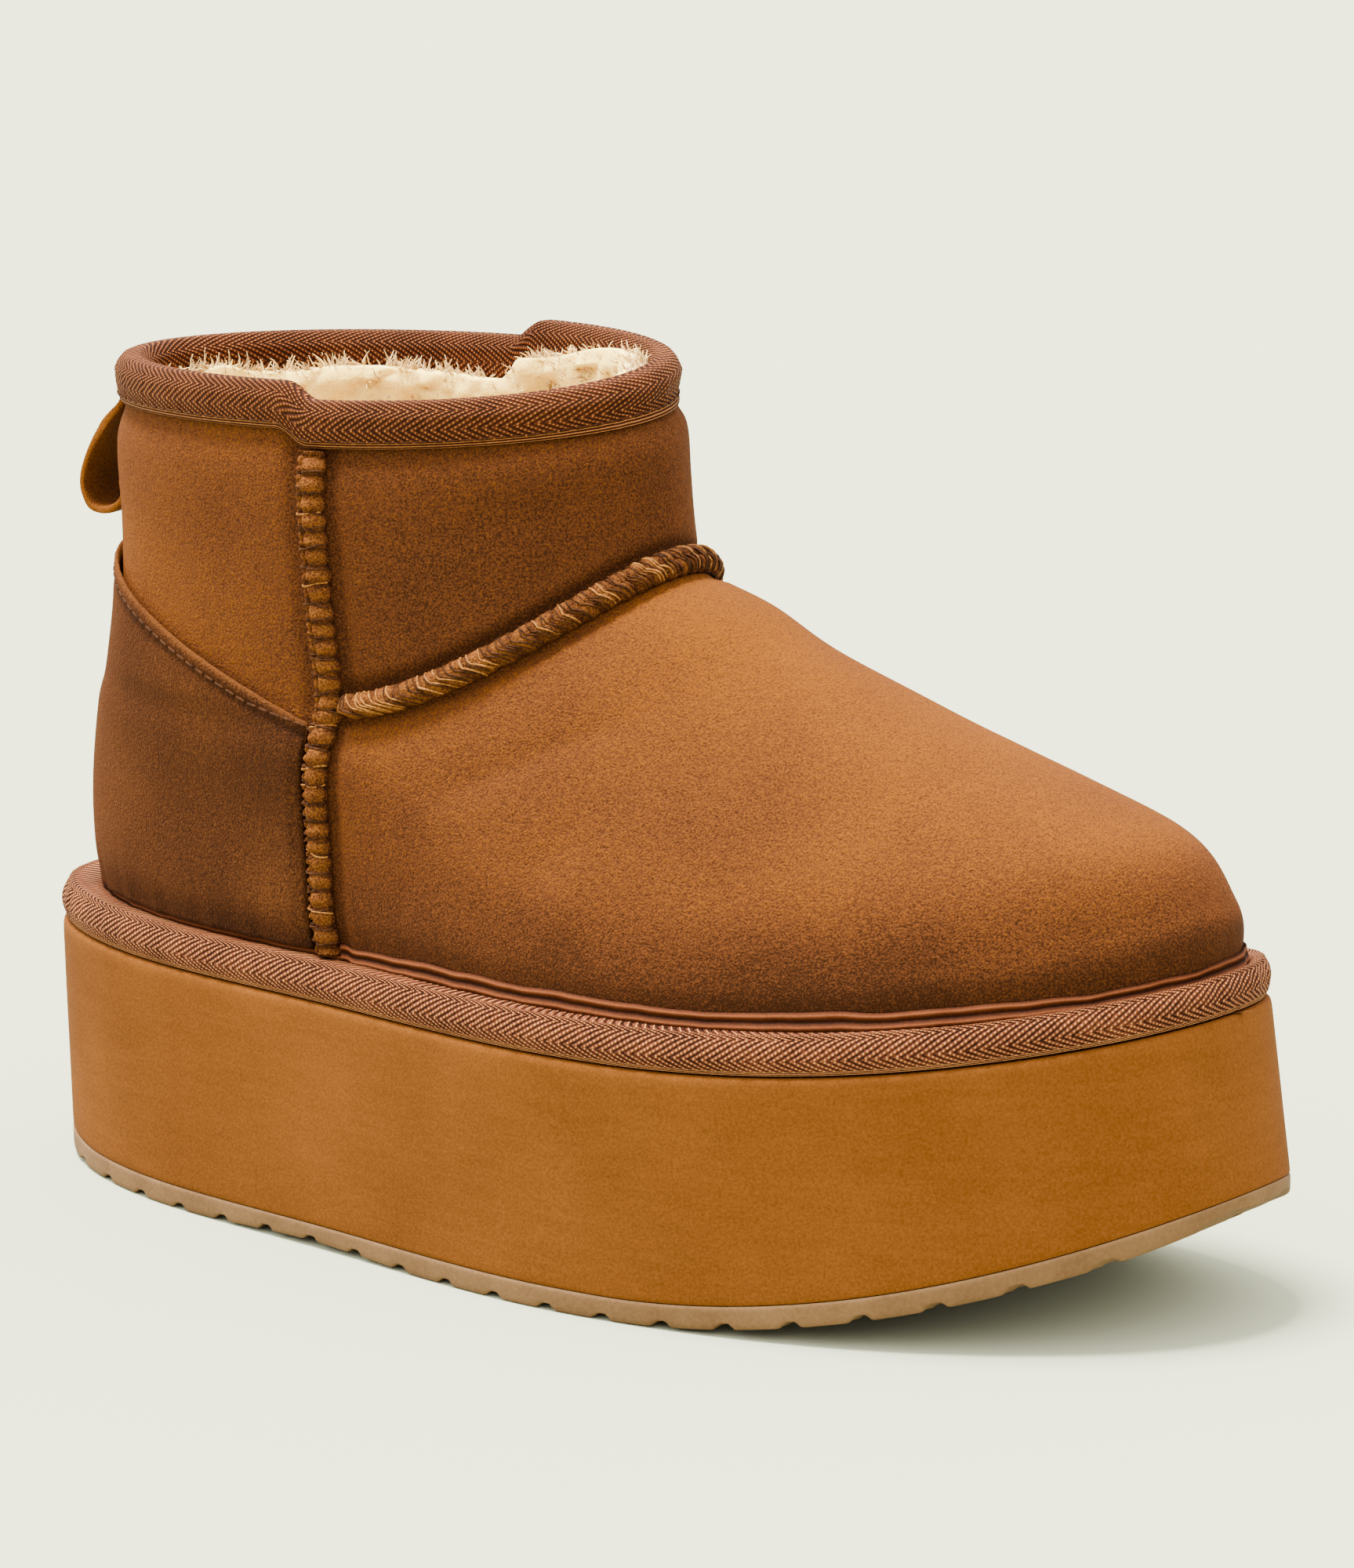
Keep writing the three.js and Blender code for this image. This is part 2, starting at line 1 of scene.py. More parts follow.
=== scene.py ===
"""The looks of a low sheepskin boot on a platform sole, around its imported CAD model.

Shape classes work in millimetres and the meshes are written in metres. X runs from heel to toe,
Y towards the inner side of the foot and Z up from the floor. A turn runs from the heel at 0 round
the outer side to the toe at 0.5 and back round the inner side.
"""

import logging
import math
from dataclasses import dataclass
from enum import Enum
from typing import Callable, NamedTuple, Optional, Sequence

import bmesh
import bpy
import numpy as np
from mathutils import Matrix, Vector


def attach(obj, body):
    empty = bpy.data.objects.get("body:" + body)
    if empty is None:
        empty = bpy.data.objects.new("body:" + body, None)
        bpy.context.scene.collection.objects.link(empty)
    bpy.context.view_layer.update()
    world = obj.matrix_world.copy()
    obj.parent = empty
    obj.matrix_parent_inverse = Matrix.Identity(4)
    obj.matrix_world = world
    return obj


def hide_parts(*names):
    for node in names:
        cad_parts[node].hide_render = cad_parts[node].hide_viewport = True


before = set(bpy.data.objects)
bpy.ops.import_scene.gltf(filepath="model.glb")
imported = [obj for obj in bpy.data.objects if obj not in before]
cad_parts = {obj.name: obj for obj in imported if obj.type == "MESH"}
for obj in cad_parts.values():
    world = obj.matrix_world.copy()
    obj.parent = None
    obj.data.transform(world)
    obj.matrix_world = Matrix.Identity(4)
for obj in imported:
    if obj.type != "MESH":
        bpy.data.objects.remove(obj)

LOG = logging.getLogger("boot")
MM = 0.001
Array = np.ndarray
Place = Callable[[Array, Array], Array]


class Side(Enum):
    """Side of the foot, with the sign that turns go round on it."""

    OUTER = 1
    INNER = -1


# Shape tables


class PlanRow(NamedTuple):
    """Half widths of the sole over the sine of the way round, as shares of its width."""

    at: float
    outer: float
    inner: float


class SkinRow(NamedTuple):
    """One section of the upper; back and front are shares of the sole's length."""

    at: float
    back: float
    front: float
    oval: float
    spread: float


class SeamRow(NamedTuple):
    """Where the side seams run, as a share of the sole's length."""

    at: float
    x: float


class ProfileRow(NamedTuple):
    """A point of a section, out and up as shares of the piece's own sizes."""

    out: float
    up: float


PLAN_ROWS = (
    PlanRow(0.0, 0.62, 0.62),
    PlanRow(0.12, 0.535, 0.555),
    PlanRow(0.25, 0.505, 0.48),
    PlanRow(0.4, 0.48, 0.425),
    PlanRow(0.55, 0.55, 0.445),
    PlanRow(0.7, 0.588, 0.525),
    PlanRow(0.82, 0.612, 0.59),
    PlanRow(0.92, 0.65, 0.645),
    PlanRow(1.0, 0.675, 0.675),
)

FOOT_ROWS = (
    SkinRow(0.0, -0.4565, 0.4625, 0.0, 0.975),
    SkinRow(0.11, -0.4585, 0.4665, 0.0, 0.995),
    SkinRow(0.25, -0.462, 0.461, 0.07, 1.01),
    SkinRow(0.45, -0.4645, 0.4205, 0.25, 1.01),
    SkinRow(0.64, -0.462, 0.3015, 0.5, 1.0),
    SkinRow(0.835, -0.4535, 0.158, 0.76, 1.0),
    SkinRow(0.92, -0.447, 0.1035, 0.86, 0.99),
    SkinRow(1.0, -0.4415, 0.037, 0.93, 0.985),
)

SHAFT_ROWS = (
    SkinRow(0.0, -0.4415, 0.037, 0.93, 0.985),
    SkinRow(0.25, -0.434, 0.0325, 0.98, 0.995),
    SkinRow(0.5, -0.4335, 0.0295, 1.0, 1.0),
    SkinRow(0.75, -0.436, 0.025, 1.0, 1.0),
    SkinRow(0.88, -0.43, 0.0145, 1.0, 0.97),
    SkinRow(1.0, -0.431, 0.0165, 1.0, 0.97),
)

SIDE_SEAM_ROWS = (
    SeamRow(0.0, -0.148),
    SeamRow(0.15, -0.157),
    SeamRow(0.35, -0.16),
    SeamRow(0.5, -0.155),
    SeamRow(0.65, -0.161),
    SeamRow(0.8, -0.166),
    SeamRow(1.0, -0.173),
)


def read_table(rows: Sequence[NamedTuple], column: str, at: Array) -> Array:
    """Read a column of a table on a smooth curve through its rows.

    Args:
        rows: table rows in order of their column "at".
        column: name of the column to read.
        at: places to read it at.

    Returns:
        The column's values at those places.
    """
    xs = np.array([row.at for row in rows])
    ys = np.array([getattr(row, column) for row in rows])
    before = np.maximum(np.arange(len(xs)) - 1, 0)
    after = np.minimum(np.arange(len(xs)) + 1, len(xs) - 1)
    slopes = (ys[after] - ys[before]) / (xs[after] - xs[before])
    place = np.clip(at, xs[0], xs[-1])
    i = np.clip(np.searchsorted(xs, place, side="left") - 1, 0, len(xs) - 2)
    span = xs[i + 1] - xs[i]
    s = (place - xs[i]) / span
    a, b, ta, tb = ys[i], ys[i + 1], slopes[i] * span, slopes[i + 1] * span
    return a + s * (ta + s * (3 * (b - a) - 2 * ta - tb + s * (2 * (a - b) + ta + tb)))


def smoothstep(x: Array, low: float, high: float) -> Array:
    """Rise smoothly from 0 at low to 1 at high."""
    s = np.clip((x - low) / (high - low), 0, 1)
    return s * s * (3 - 2 * s)


def bell(x: Array, width: float) -> Array:
    """A soft bump of height 1 at 0 that fades over width."""
    return np.exp(-((x / width) ** 2))


@dataclass(frozen=True)
class BootSizes:
    """Driving sizes of the boot in millimetres, the same as the CAD model's."""

    sole_length: float = 268.0
    sole_width: float = 104.0
    foam_thickness: float = 43.0
    outsole_thickness: float = 4.2
    toe_spring: float = 22.0
    toe_thinning: float = 1.2
    arch_rise: float = 1.0
    heel_spring: float = 2.2
    top_rise: float = 11.7
    toe_flare: float = 4.9
    heel_taper: float = 1.5
    toe_sway: float = 8.0
    collar_height: float = 112.5
    collar_tilt: float = 3.0
    collar_step: float = 3.4
    seam_height: float = 53.8
    throat_height: float = 80.5
    shaft_width: float = 79.0
    suede: float = 2.2
    pile: float = 6.5
    rim_width: float = 6.3
    rim_height: float = 7.6
    rim_overhang: float = -0.8
    tape_depth: float = 6.2
    tape_wall: float = 1.3
    tape_inset: float = 5.6
    counter_thickness: float = 1.3
    counter_back: float = 76.5
    counter_side: float = 50.0
    seam_width: float = 6.8
    insole: float = 6.0
    loop_width: float = 20.0
    loop_thickness: float = 1.6
    loop_reach: float = 9.6
    loop_drop: float = 22.8
    gap: float = 0.3

    @property
    def sole_height(self) -> float:
        """Height of the platform's top at the ball."""
        return self.outsole_thickness + self.gap + self.foam_thickness


class Last:
    """The boot's surfaces as functions of the way round and the level."""

    def __init__(self, sizes: BootSizes) -> None:
        """Keep the sizes and measure the way round the sole."""
        self.sizes = sizes
        self._turns = np.linspace(0, 1, 4001)
        outline = self.plan_point(self._turns, 0.0, 1.0)
        steps = np.linalg.norm(np.diff(outline, axis=0), axis=1)
        self._shares = np.concatenate([[0], np.cumsum(steps)]) / steps.sum()
        self.perimeter = float(steps.sum())

    def even_turn(self, share: Array) -> Array:
        """Turn after an even share of the way round the sole."""
        return np.interp(share, self._shares, self._turns)

    def twin_turn(self, share: Array) -> Array:
        """As even_turn, but with the same x on both sides of the foot."""
        return (self.even_turn(share) + 1 - self.even_turn(1 - share)) / 2

    def ramp(self, x: Array, start: float, end: float) -> Array:
        """How far x has gone from one share of the sole's length to another."""
        return np.clip((x / self.sizes.sole_length - start) / (end - start), 0, 1)

    def sway(self, x: Array) -> Array:
        """Sideways curve of the toe towards the inner side."""
        return self.sizes.toe_sway * self.ramp(x, 0, 0.5) ** 2

    def spring(self, x: Array) -> Array:
        """Height of the foam's underside over its lowest line."""
        heel = self.sizes.heel_spring * self.ramp(x, -0.4, -0.5) ** 2
        return heel + self.sizes.toe_spring * self.ramp(x, 0.12, 0.5) ** 2

    def floor_clearance(self, x: Array) -> Array:
        """Height of the outsole's underside over the floor."""
        arch = np.sin(math.pi * self.ramp(x, -0.29, -0.025)) ** 2
        tip = self.sizes.toe_thinning * self.ramp(x, 0.44, 0.5) ** 2
        return self.spring(x) + self.sizes.arch_rise * arch + tip

    def platform_top(self, x: Array) -> Array:
        """Height of the platform's top face."""
        return self.sizes.sole_height + self.sizes.top_rise * self.ramp(x, 0.12, 0.5) ** 2

    def fullness(self, turn: Array) -> Array:
        """Half width over the sine of the way round."""
        turn = np.mod(turn, 1.0)
        outer = read_table(PLAN_ROWS, "outer", 2 * turn)
        inner = read_table(PLAN_ROWS, "inner", 2 - 2 * turn)
        return self.sizes.sole_width * np.where(turn < 0.5, outer, inner)

    def _raw_plan(self, turn: Array, level: float) -> Array:
        angle = 2 * math.pi * turn
        x = -self.sizes.sole_length / 2 * np.cos(angle)
        y = -np.sin(angle) * self.fullness(turn) + self.sway(x)
        heel = self.sizes.heel_taper * (1 - level) * self.ramp(x, -0.3, -0.5)
        toe = self.sizes.toe_flare * level * self.ramp(x, 0.25, 0.5)
        return np.stack([x + heel - toe, y], axis=-1)

    def plan_point(self, turn: Array, inset: Array, level: float) -> Array:
        """Point of the sole's outline, moved in by inset; level is 0 below and 1 on top."""
        step = 1e-3
        along = self._raw_plan(turn + step, level) - self._raw_plan(turn - step, level)
        along /= np.linalg.norm(along, axis=-1, keepdims=True)
        inwards = np.stack([-along[..., 1], along[..., 0]], axis=-1)
        return self._raw_plan(turn, level) + inwards * np.asarray(inset)[..., None]

    def seam_line(self, turn: Array) -> Array:
        """Height of the vamp seam over the platform."""
        share = (1 - np.cos(2 * math.pi * turn)) / 2
        past = np.clip((share - 0.59) / 0.41, 0, 1)
        rise = self.sizes.throat_height - self.sizes.seam_height
        return self.sizes.seam_height + rise * past**1.7

    def rim_line(self, turn: Array) -> Array:
        """Height of the collar's edge over the platform."""
        share = (1 - np.cos(2 * math.pi * turn)) / 2
        step = smoothstep(share, 0.52, 0.58) * np.sin(2 * math.pi * turn)
        tilt = self.sizes.collar_tilt * (share - 0.5)
        return self.sizes.collar_height + tilt - self.sizes.collar_step * step

    def _section(self, turn: Array, level: Array, column: str) -> Array:
        foot = read_table(FOOT_ROWS, column, level)
        shaft = read_table(SHAFT_ROWS, column, level - 1)
        return np.where(level < 1, foot, shaft)

    def skin(self, turn: Array, level: Array) -> Array:
        """The upper's outer surface, level 0 at the platform, 1 on the vamp seam, 2 at the collar."""
        turn, level = np.broadcast_arrays(np.asarray(turn, float), np.asarray(level, float))
        sizes = self.sizes
        angle = 2 * math.pi * turn
        back = sizes.sole_length * self._section(turn, level, "back")
        front = sizes.sole_length * self._section(turn, level, "front")
        x = back + (front - back) * (1 - np.cos(angle)) / 2
        foot = self.fullness(turn) - sizes.rim_width
        oval = self._section(turn, level, "oval")
        half = foot + (sizes.shaft_width / 2 - foot) * oval
        half = half * self._section(turn, level, "spread")
        seam = self.seam_line(turn)
        high = seam + (self.rim_line(turn) - seam) * (level - 1)
        height = sizes.gap + np.where(level < 1, seam * level, high)
        lift = (self.platform_top(x) - sizes.sole_height) * (1 - height / sizes.collar_height)
        y = -np.sin(angle) * half + self.sway(x)
        return np.stack([x, y, sizes.sole_height + height + lift], axis=-1)

    def normal(self, turn: Array, level: Array) -> Array:
        """Outward normal of the upper's surface."""
        turn, level = np.broadcast_arrays(np.asarray(turn, float), np.asarray(level, float))
        step = 2e-3
        around = self.skin(turn + step, level) - self.skin(turn - step, level)
        low, high = np.maximum(level - 4 * step, 0), np.minimum(level + 4 * step, 2)
        upwards = self.skin(turn, high) - self.skin(turn, low)
        normal = np.cross(around, upwards)
        normal /= np.linalg.norm(normal, axis=-1, keepdims=True)
        normal[..., 2] *= np.clip(level / 0.25, 0, 1)
        return normal / np.linalg.norm(normal, axis=-1, keepdims=True)

    def skin_point(self, turn: Array, level: Array, offset: Array) -> Array:
        """Point off the upper's surface, outwards for a positive offset."""
        return self.skin(turn, level) + self.normal(turn, level) * np.asarray(offset)[..., None]

    def level_at(self, turn: Array, height: Array) -> Array:
        """Level at which the upper reaches a height over the platform."""
        seam = self.seam_line(turn)
        above = 1 + (height - seam) / (self.rim_line(turn) - seam)
        return np.where(height < seam, height / seam, above)

    def turn_at(self, x: Array, height: Array) -> Array:
        """Turn at which the upper's section at a height passes x, on the outer side."""
        turn = np.full(np.broadcast(x, height).shape, 0.25)
        for _ in range(12):
            level = self.level_at(turn, height)
            back = self.sizes.sole_length * self._section(turn, level, "back")
            front = self.sizes.sole_length * self._section(turn, level, "front")
            share = np.clip((x - back) / (front - back), 0, 1)
            turn = np.arccos(1 - 2 * share) / (2 * math.pi)
        return turn

    def side_seam_x(self, height: Array) -> Array:
        """Where the side seams pass a height over the platform."""
        share = height / self.sizes.collar_height
        return self.sizes.sole_length * read_table(SIDE_SEAM_ROWS, "x", share)


# Mesh building


def finish_mesh(name: str, bm: bmesh.types.BMesh, material: bpy.types.Material) -> bpy.types.Object:
    """Turn a bmesh into a smooth object that rides on the boot.

    Args:
        name: the object's name.
        bm: the mesh to write, which is freed.
        material: its only material.

    Returns:
        The new object, at the origin.
    """
    bmesh.ops.recalc_face_normals(bm, faces=bm.faces)
    mesh = bpy.data.meshes.new(name)
    bm.to_mesh(mesh)
    bm.free()
    mesh.shade_smooth()
    mesh.materials.append(material)
    piece = bpy.data.objects.new(name, mesh)
    bpy.context.collection.objects.link(piece)
    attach(piece, "root")
    return piece


def grid_bmesh(
    columns: int,
    rows: int,
    place: Place,
    uv: Optional[Place] = None,
    shade: Optional[Place] = None,
) -> bmesh.types.BMesh:
    """Bend a grid to a surface given in millimetres, join its edges where they meet and fill the rest.

    Args:
        columns: faces along u.
        rows: faces along v.
        place: points of the surface for u and v from 0 to 1.
        uv: texture coordinates for u and v.
        shade: how much lighter or darker the finish is, for u and v.

    Returns:
        The closed shape in metres.
    """
    bm = bmesh.new()
    bmesh.ops.create_grid(bm, x_segments=columns, y_segments=rows, size=0.5)
    bm.verts.ensure_lookup_table()
    flat = np.array([vert.co[:2] for vert in bm.verts]) + 0.5
    u, v = flat[:, 0], flat[:, 1]
    points = place(u, v) * MM
    if uv is not None:
        layer = bm.loops.layers.uv.new("UVMap")
        coords = uv(u, v)
        for face in bm.faces:
            for loop in face.loops:
                loop[layer].uv = coords[loop.vert.index]
    if shade is not None:
        layer = bm.verts.layers.float.new("shade")
        for vert, value in zip(bm.verts, shade(u, v)):
            vert[layer] = float(value)
    for vert, point in zip(bm.verts, points):
        vert.co = point
    edge = [vert for vert in bm.verts if vert.is_boundary]
    bmesh.ops.remove_doubles(bm, verts=edge, dist=1e-6)
    bmesh.ops.holes_fill(bm, edges=[e for e in bm.edges if e.is_boundary], sides=0)
    return bm


def scatter(parts: Sequence[bpy.types.Mesh], matrices: Sequence[Matrix]) -> bmesh.types.BMesh:
    """Join many placed copies of a few small meshes.

    Args:
        parts: meshes to copy, used in turn.
        matrices: place of each copy, in metres.

    Returns:
        One bmesh with every copy.
    """
    batch = 120
    whole = bmesh.new()
    for first in range(0, len(matrices), batch):
        some = bmesh.new()
        for i, matrix in enumerate(matrices[first : first + batch]):
            copy = parts[i % len(parts)].copy()
            copy.transform(matrix)
            some.from_mesh(copy)
            bpy.data.meshes.remove(copy)
        joined = bpy.data.meshes.new("batch")
        some.to_mesh(joined)
        some.free()
        whole.from_mesh(joined)
        bpy.data.meshes.remove(joined)
    return whole


def tube_place(points: Array, ups: Array, radius: float) -> Place:
    """Place of a round tube along a line of points.

    Args:
        points: the tube's middle line, in millimetres.
        ups: a direction across the line at each point.
        radius: the tube's radius.

    Returns:
        A function of u along the tube and v round it.
    """
    along = np.gradient(points, axis=0)
    along /= np.linalg.norm(along, axis=1, keepdims=True)
    side = np.cross(along, ups)
    side /= np.linalg.norm(side, axis=1, keepdims=True)
    up = np.cross(side, along)
    shares = np.linspace(0, 1, len(points))

    def place(u: Array, v: Array) -> Array:
        def read(table: Array) -> Array:
            return np.stack([np.interp(u, shares, table[:, k]) for k in range(3)], -1)

        angle = 2 * math.pi * v
        ring = read(side) * np.cos(angle)[:, None] + read(up) * np.sin(angle)[:, None]
        return read(points) + radius * ring

    return place


def wave_noise(points: Array, size: float, seed: int) -> Array:
    """Smooth noise from -1 to 1 made of a few crossing waves.

    Args:
        points: places in millimetres.
        size: rough width of one swell.
        seed: choice of the waves.

    Returns:
        One number for each place.
    """
    rng = np.random.default_rng(seed)
    total = np.zeros(points.shape[:-1])
    for _ in range(7):
        direction = rng.normal(size=3)
        direction /= np.linalg.norm(direction)
        wave = 2 * math.pi / (size * rng.uniform(1.4, 2.8))
        total += np.sin(points @ direction * wave + rng.uniform(0, 2 * math.pi))
    return total / 4.0


# Materials


def linear(code: str) -> tuple[float, float, float, float]:
    """Linear colour of an sRGB hex code."""
    parts = [int(code[i : i + 2], 16) / 255 for i in (1, 3, 5)]
    values = [c / 12.92 if c <= 0.04045 else ((c + 0.055) / 1.055) ** 2.4 for c in parts]
    return (*values, 1.0)


class Shader:
    """A material's node tree with short ways to add to it."""

    def __init__(self, name: str) -> None:
        """Start a material with a principled shader."""
        self.material = bpy.data.materials.new(name)
        self.material.use_nodes = True
        self.tree = self.material.node_tree
        self.tree.nodes.clear()
        self.output = self.tree.nodes.new("ShaderNodeOutputMaterial")
        self.base = self.add("ShaderNodeBsdfPrincipled")
        self.link(self.base.outputs[0], self.output.inputs["Surface"])

    def add(self, kind: str, links: Optional[dict] = None, **settings) -> bpy.types.Node:
        """Add a node.

        Args:
            kind: the node's type.
            links: what goes into its inputs: a socket to link, or a value to set.
            settings: the node's own properties.

        Returns:
            The new node.
        """
        node = self.tree.nodes.new(kind)
        for key, value in settings.items():
            setattr(node, key, value)
        for key, value in (links or {}).items():
            if isinstance(value, bpy.types.NodeSocket):
                self.link(value, node.inputs[key])
            else:
                node.inputs[key].default_value = value
        return node

    def link(self, start: bpy.types.NodeSocket, end: bpy.types.NodeSocket) -> None:
        """Link two sockets."""
        self.tree.links.new(start, end)

    def math(self, operation: str, a, b=0.0, c=0.0) -> bpy.types.NodeSocket:
        """Add a math node and return its result."""
        node = self.add("ShaderNodeMath", {0: a, 1: b, 2: c}, operation=operation)
        return node.outputs[0]

    def mix(self, factor, a, b) -> bpy.types.NodeSocket:
        """Mix two colours."""
        node = self.add("ShaderNodeMix", {0: factor, 6: a, 7: b}, data_type="RGBA")
        return node.outputs[2]

    def ramp(self, value, low: float, high: float) -> bpy.types.NodeSocket:
        """Map a value from low..high to 0..1, clamped."""
        node = self.add("ShaderNodeMapRange", {0: value, 1: low, 2: high})
        return node.outputs[0]

    def noise(self, vector, size_mm: float, detail: float = 2.0) -> bpy.types.NodeSocket:
        """Add noise with features of about size_mm, for object coordinates in metres."""
        links = {"Vector": vector, "Scale": 1 / (size_mm * MM), "Detail": detail}
        return self.add("ShaderNodeTexNoise", links).outputs["Fac"]

    def object_coords(self) -> bpy.types.NodeSocket:
        """The object's own coordinates in metres."""
        return self.add("ShaderNodeTexCoord").outputs["Object"]

    def uv(self) -> tuple[bpy.types.NodeSocket, bpy.types.NodeSocket]:
        """The piece's own texture coordinates, each in millimetres."""
        coords = self.add("ShaderNodeTexCoord").outputs["UV"]
        split = self.add("ShaderNodeSeparateXYZ", {0: coords})
        return split.outputs[0], split.outputs[1]

    def attribute(self, name: str) -> bpy.types.NodeSocket:
        """A number stored on the piece's vertices."""
        return self.add("ShaderNodeAttribute", attribute_name=name).outputs["Fac"]

    def bump(self, height, depth_mm: float, strength: float = 1.0, normal=None) -> bpy.types.NodeSocket:
        """Add relief of a depth in millimetres."""
        links = {"Height": height, "Distance": depth_mm * MM, "Strength": strength}
        if normal is not None:
            links["Normal"] = normal
        return self.add("ShaderNodeBump", links).outputs[0]

    def set(self, **values) -> None:
        """Set or link inputs of the principled shader, named with underscores for spaces."""
        for key, value in values.items():
            socket = self.base.inputs[key.replace("_", " ")]
            if isinstance(value, bpy.types.NodeSocket):
                self.link(value, socket)
            else:
                socket.default_value = value


@dataclass(frozen=True)
class SuedeFinish:
    """Brushed sheepskin suede: a soft nap, mottled by how the hairs lie."""

    name: str
    dark: str
    middle: str
    light: str
    sheen: float = 0.12

    def build(self) -> bpy.types.Material:
        """Make the material; the vertex number "shade", which carries painted light and shade as well as
        tone, darkens or lightens it.
        """
        shader = Shader(self.name)
        at = shader.object_coords()
        nap = shader.noise(at, 0.4, 3.0)
        tufts = shader.noise(at, 1.3, 2.0)
        brushed = shader.noise(at, 20.0, 3.0)
        shade = shader.attribute("shade")
        tone = shader.math("ADD", shader.math("MULTIPLY", shader.math("SUBTRACT", nap, 0.5), 3.0), 0.5)
        tone = shader.math("ADD", tone, shader.math("MULTIPLY", shader.math("SUBTRACT", tufts, 0.5), 0.35))
        tone = shader.math("ADD", tone, shader.math("MULTIPLY", shader.math("SUBTRACT", brushed, 0.5), 0.55))
        tone = shader.math("ADD", tone, shade)
        low = shader.mix(shader.ramp(tone, -0.2, 0.5), linear(self.dark), linear(self.middle))
        colour = shader.mix(shader.ramp(tone, 0.5, 1.3), low, linear(self.light))
        relief = shader.bump(nap, 0.45, 1.0)
        relief = shader.bump(tufts, 0.5, 0.5, relief)
        shader.set(
            Base_Color=colour,
            Roughness=0.95,
            Specular_IOR_Level=0.04,
            Sheen_Weight=self.sheen,
            Sheen_Roughness=0.4,
            Sheen_Tint=linear("#B45E0E"),
            Normal=relief,
        )
        return shader.material


@dataclass(frozen=True)
class TapeFinish:
    """Herringbone tape: slanting ribs of yarn that turn back at each column, with painted shade between the
    ribs and a painted highlight on them.
    """

    name: str
    yarn: str
    glint: str
    gap: str
    rib: float = 1.0
    column: float = 4.1
    slant_deg: float = 30.0
    bead: float = 0.85
    edge: float = 1.5
    edge_line: float = 0.55

    def build(self) -> bpy.types.Material:
        """Make the material; texture coordinates are millimetres along and across the tape."""
        shader = Shader(self.name)
        along, across = shader.uv()
        slant = math.radians(self.slant_deg)
        back_and_forth = shader.math("PINGPONG", across, self.column)
        run = shader.math("MULTIPLY", along, math.sin(slant) / self.rib)
        rise = shader.math("MULTIPLY", back_and_forth, math.cos(slant) / self.rib)
        phase = shader.math("MULTIPLY", shader.math("ADD", run, rise), 2 * math.pi)
        ribs = shader.math("MULTIPLY_ADD", shader.math("SINE", phase), 0.5, 0.5)
        bead_run = shader.math("MULTIPLY", along, math.cos(slant) / self.bead)
        bead_rise = shader.math("MULTIPLY", back_and_forth, -math.sin(slant) / self.bead)
        bead_phase = shader.math("MULTIPLY", shader.math("ADD", bead_run, bead_rise), 2 * math.pi)
        beads = shader.math("MULTIPLY_ADD", shader.math("SINE", bead_phase), 0.5, 0.5)
        weave = shader.math("MULTIPLY", ribs, shader.math("MULTIPLY_ADD", beads, 0.65, 0.35))
        # Fine lines along the edge; the phase starts them dark at the very edge, painted shade on the edge's
        # lit top.
        line_phase = shader.math("MULTIPLY_ADD", across, 2 * math.pi / self.edge_line, -math.pi / 2)
        lines = shader.math("SINE", line_phase)
        lines = shader.math("MULTIPLY_ADD", lines, 0.5, 0.5)
        on_edge = shader.ramp(across, self.edge + 0.1, self.edge - 0.1)
        change = shader.math("SUBTRACT", lines, weave)
        weave = shader.math("ADD", weave, shader.math("MULTIPLY", change, on_edge))
        fuzz = shader.noise(shader.object_coords(), 0.5, 2.0)
        patches = shader.noise(shader.object_coords(), 9.0, 2.0)
        tone = shader.math("ADD", weave, shader.math("MULTIPLY", shader.math("SUBTRACT", fuzz, 0.5), 0.5))
        tone = shader.math("ADD", tone, shader.math("MULTIPLY", shader.math("SUBTRACT", patches, 0.5), 0.3))
        # Painted shade (gap) between the ribs and painted highlight (glint) on their tops, over the yarn's
        # own colour.
        low = shader.mix(shader.ramp(tone, 0.0, 0.45), linear(self.gap), linear(self.yarn))
        colour = shader.mix(shader.ramp(tone, 0.55, 1.05), low, linear(self.glint))
        shader.set(
            Base_Color=colour,
            Roughness=0.75,
            Specular_IOR_Level=0.03,
            Normal=shader.bump(weave, 0.6, 1.0),
        )
        return shader.material


@dataclass(frozen=True)
class FoamFinish:
    """Moulded foam: matt, with a fine sandy grain and faint level streaks."""

    name: str
    dark: str
    middle: str
    light: str

    def build(self) -> bpy.types.Material:
        """Make the material."""
        shader = Shader(self.name)
        at = shader.object_coords()
        grain = shader.noise(at, 0.5, 2.0)
        clouds = shader.noise(at, 28.0, 2.0)
        flat = shader.add("ShaderNodeMapping", {"Vector": at, "Scale": (0.12, 0.12, 1.0)}).outputs[0]
        streaks = shader.noise(flat, 1.6, 1.0)
        tone = shader.math("MULTIPLY", shader.math("SUBTRACT", grain, 0.5), 1.1)
        tone = shader.math("ADD", tone, shader.math("MULTIPLY", shader.math("SUBTRACT", clouds, 0.5), 0.6))
        tone = shader.math("ADD", tone, shader.math("MULTIPLY", shader.math("SUBTRACT", streaks, 0.5), 0.25))
        low = shader.mix(shader.ramp(tone, -0.45, 0.0), linear(self.dark), linear(self.middle))
        colour = shader.mix(shader.ramp(tone, 0.0, 0.45), low, linear(self.light))
        shader.set(
            Base_Color=colour,
            Roughness=0.9,
            Specular_IOR_Level=0.04,
            Normal=shader.bump(grain, 0.12, 0.5),
        )
        return shader.material


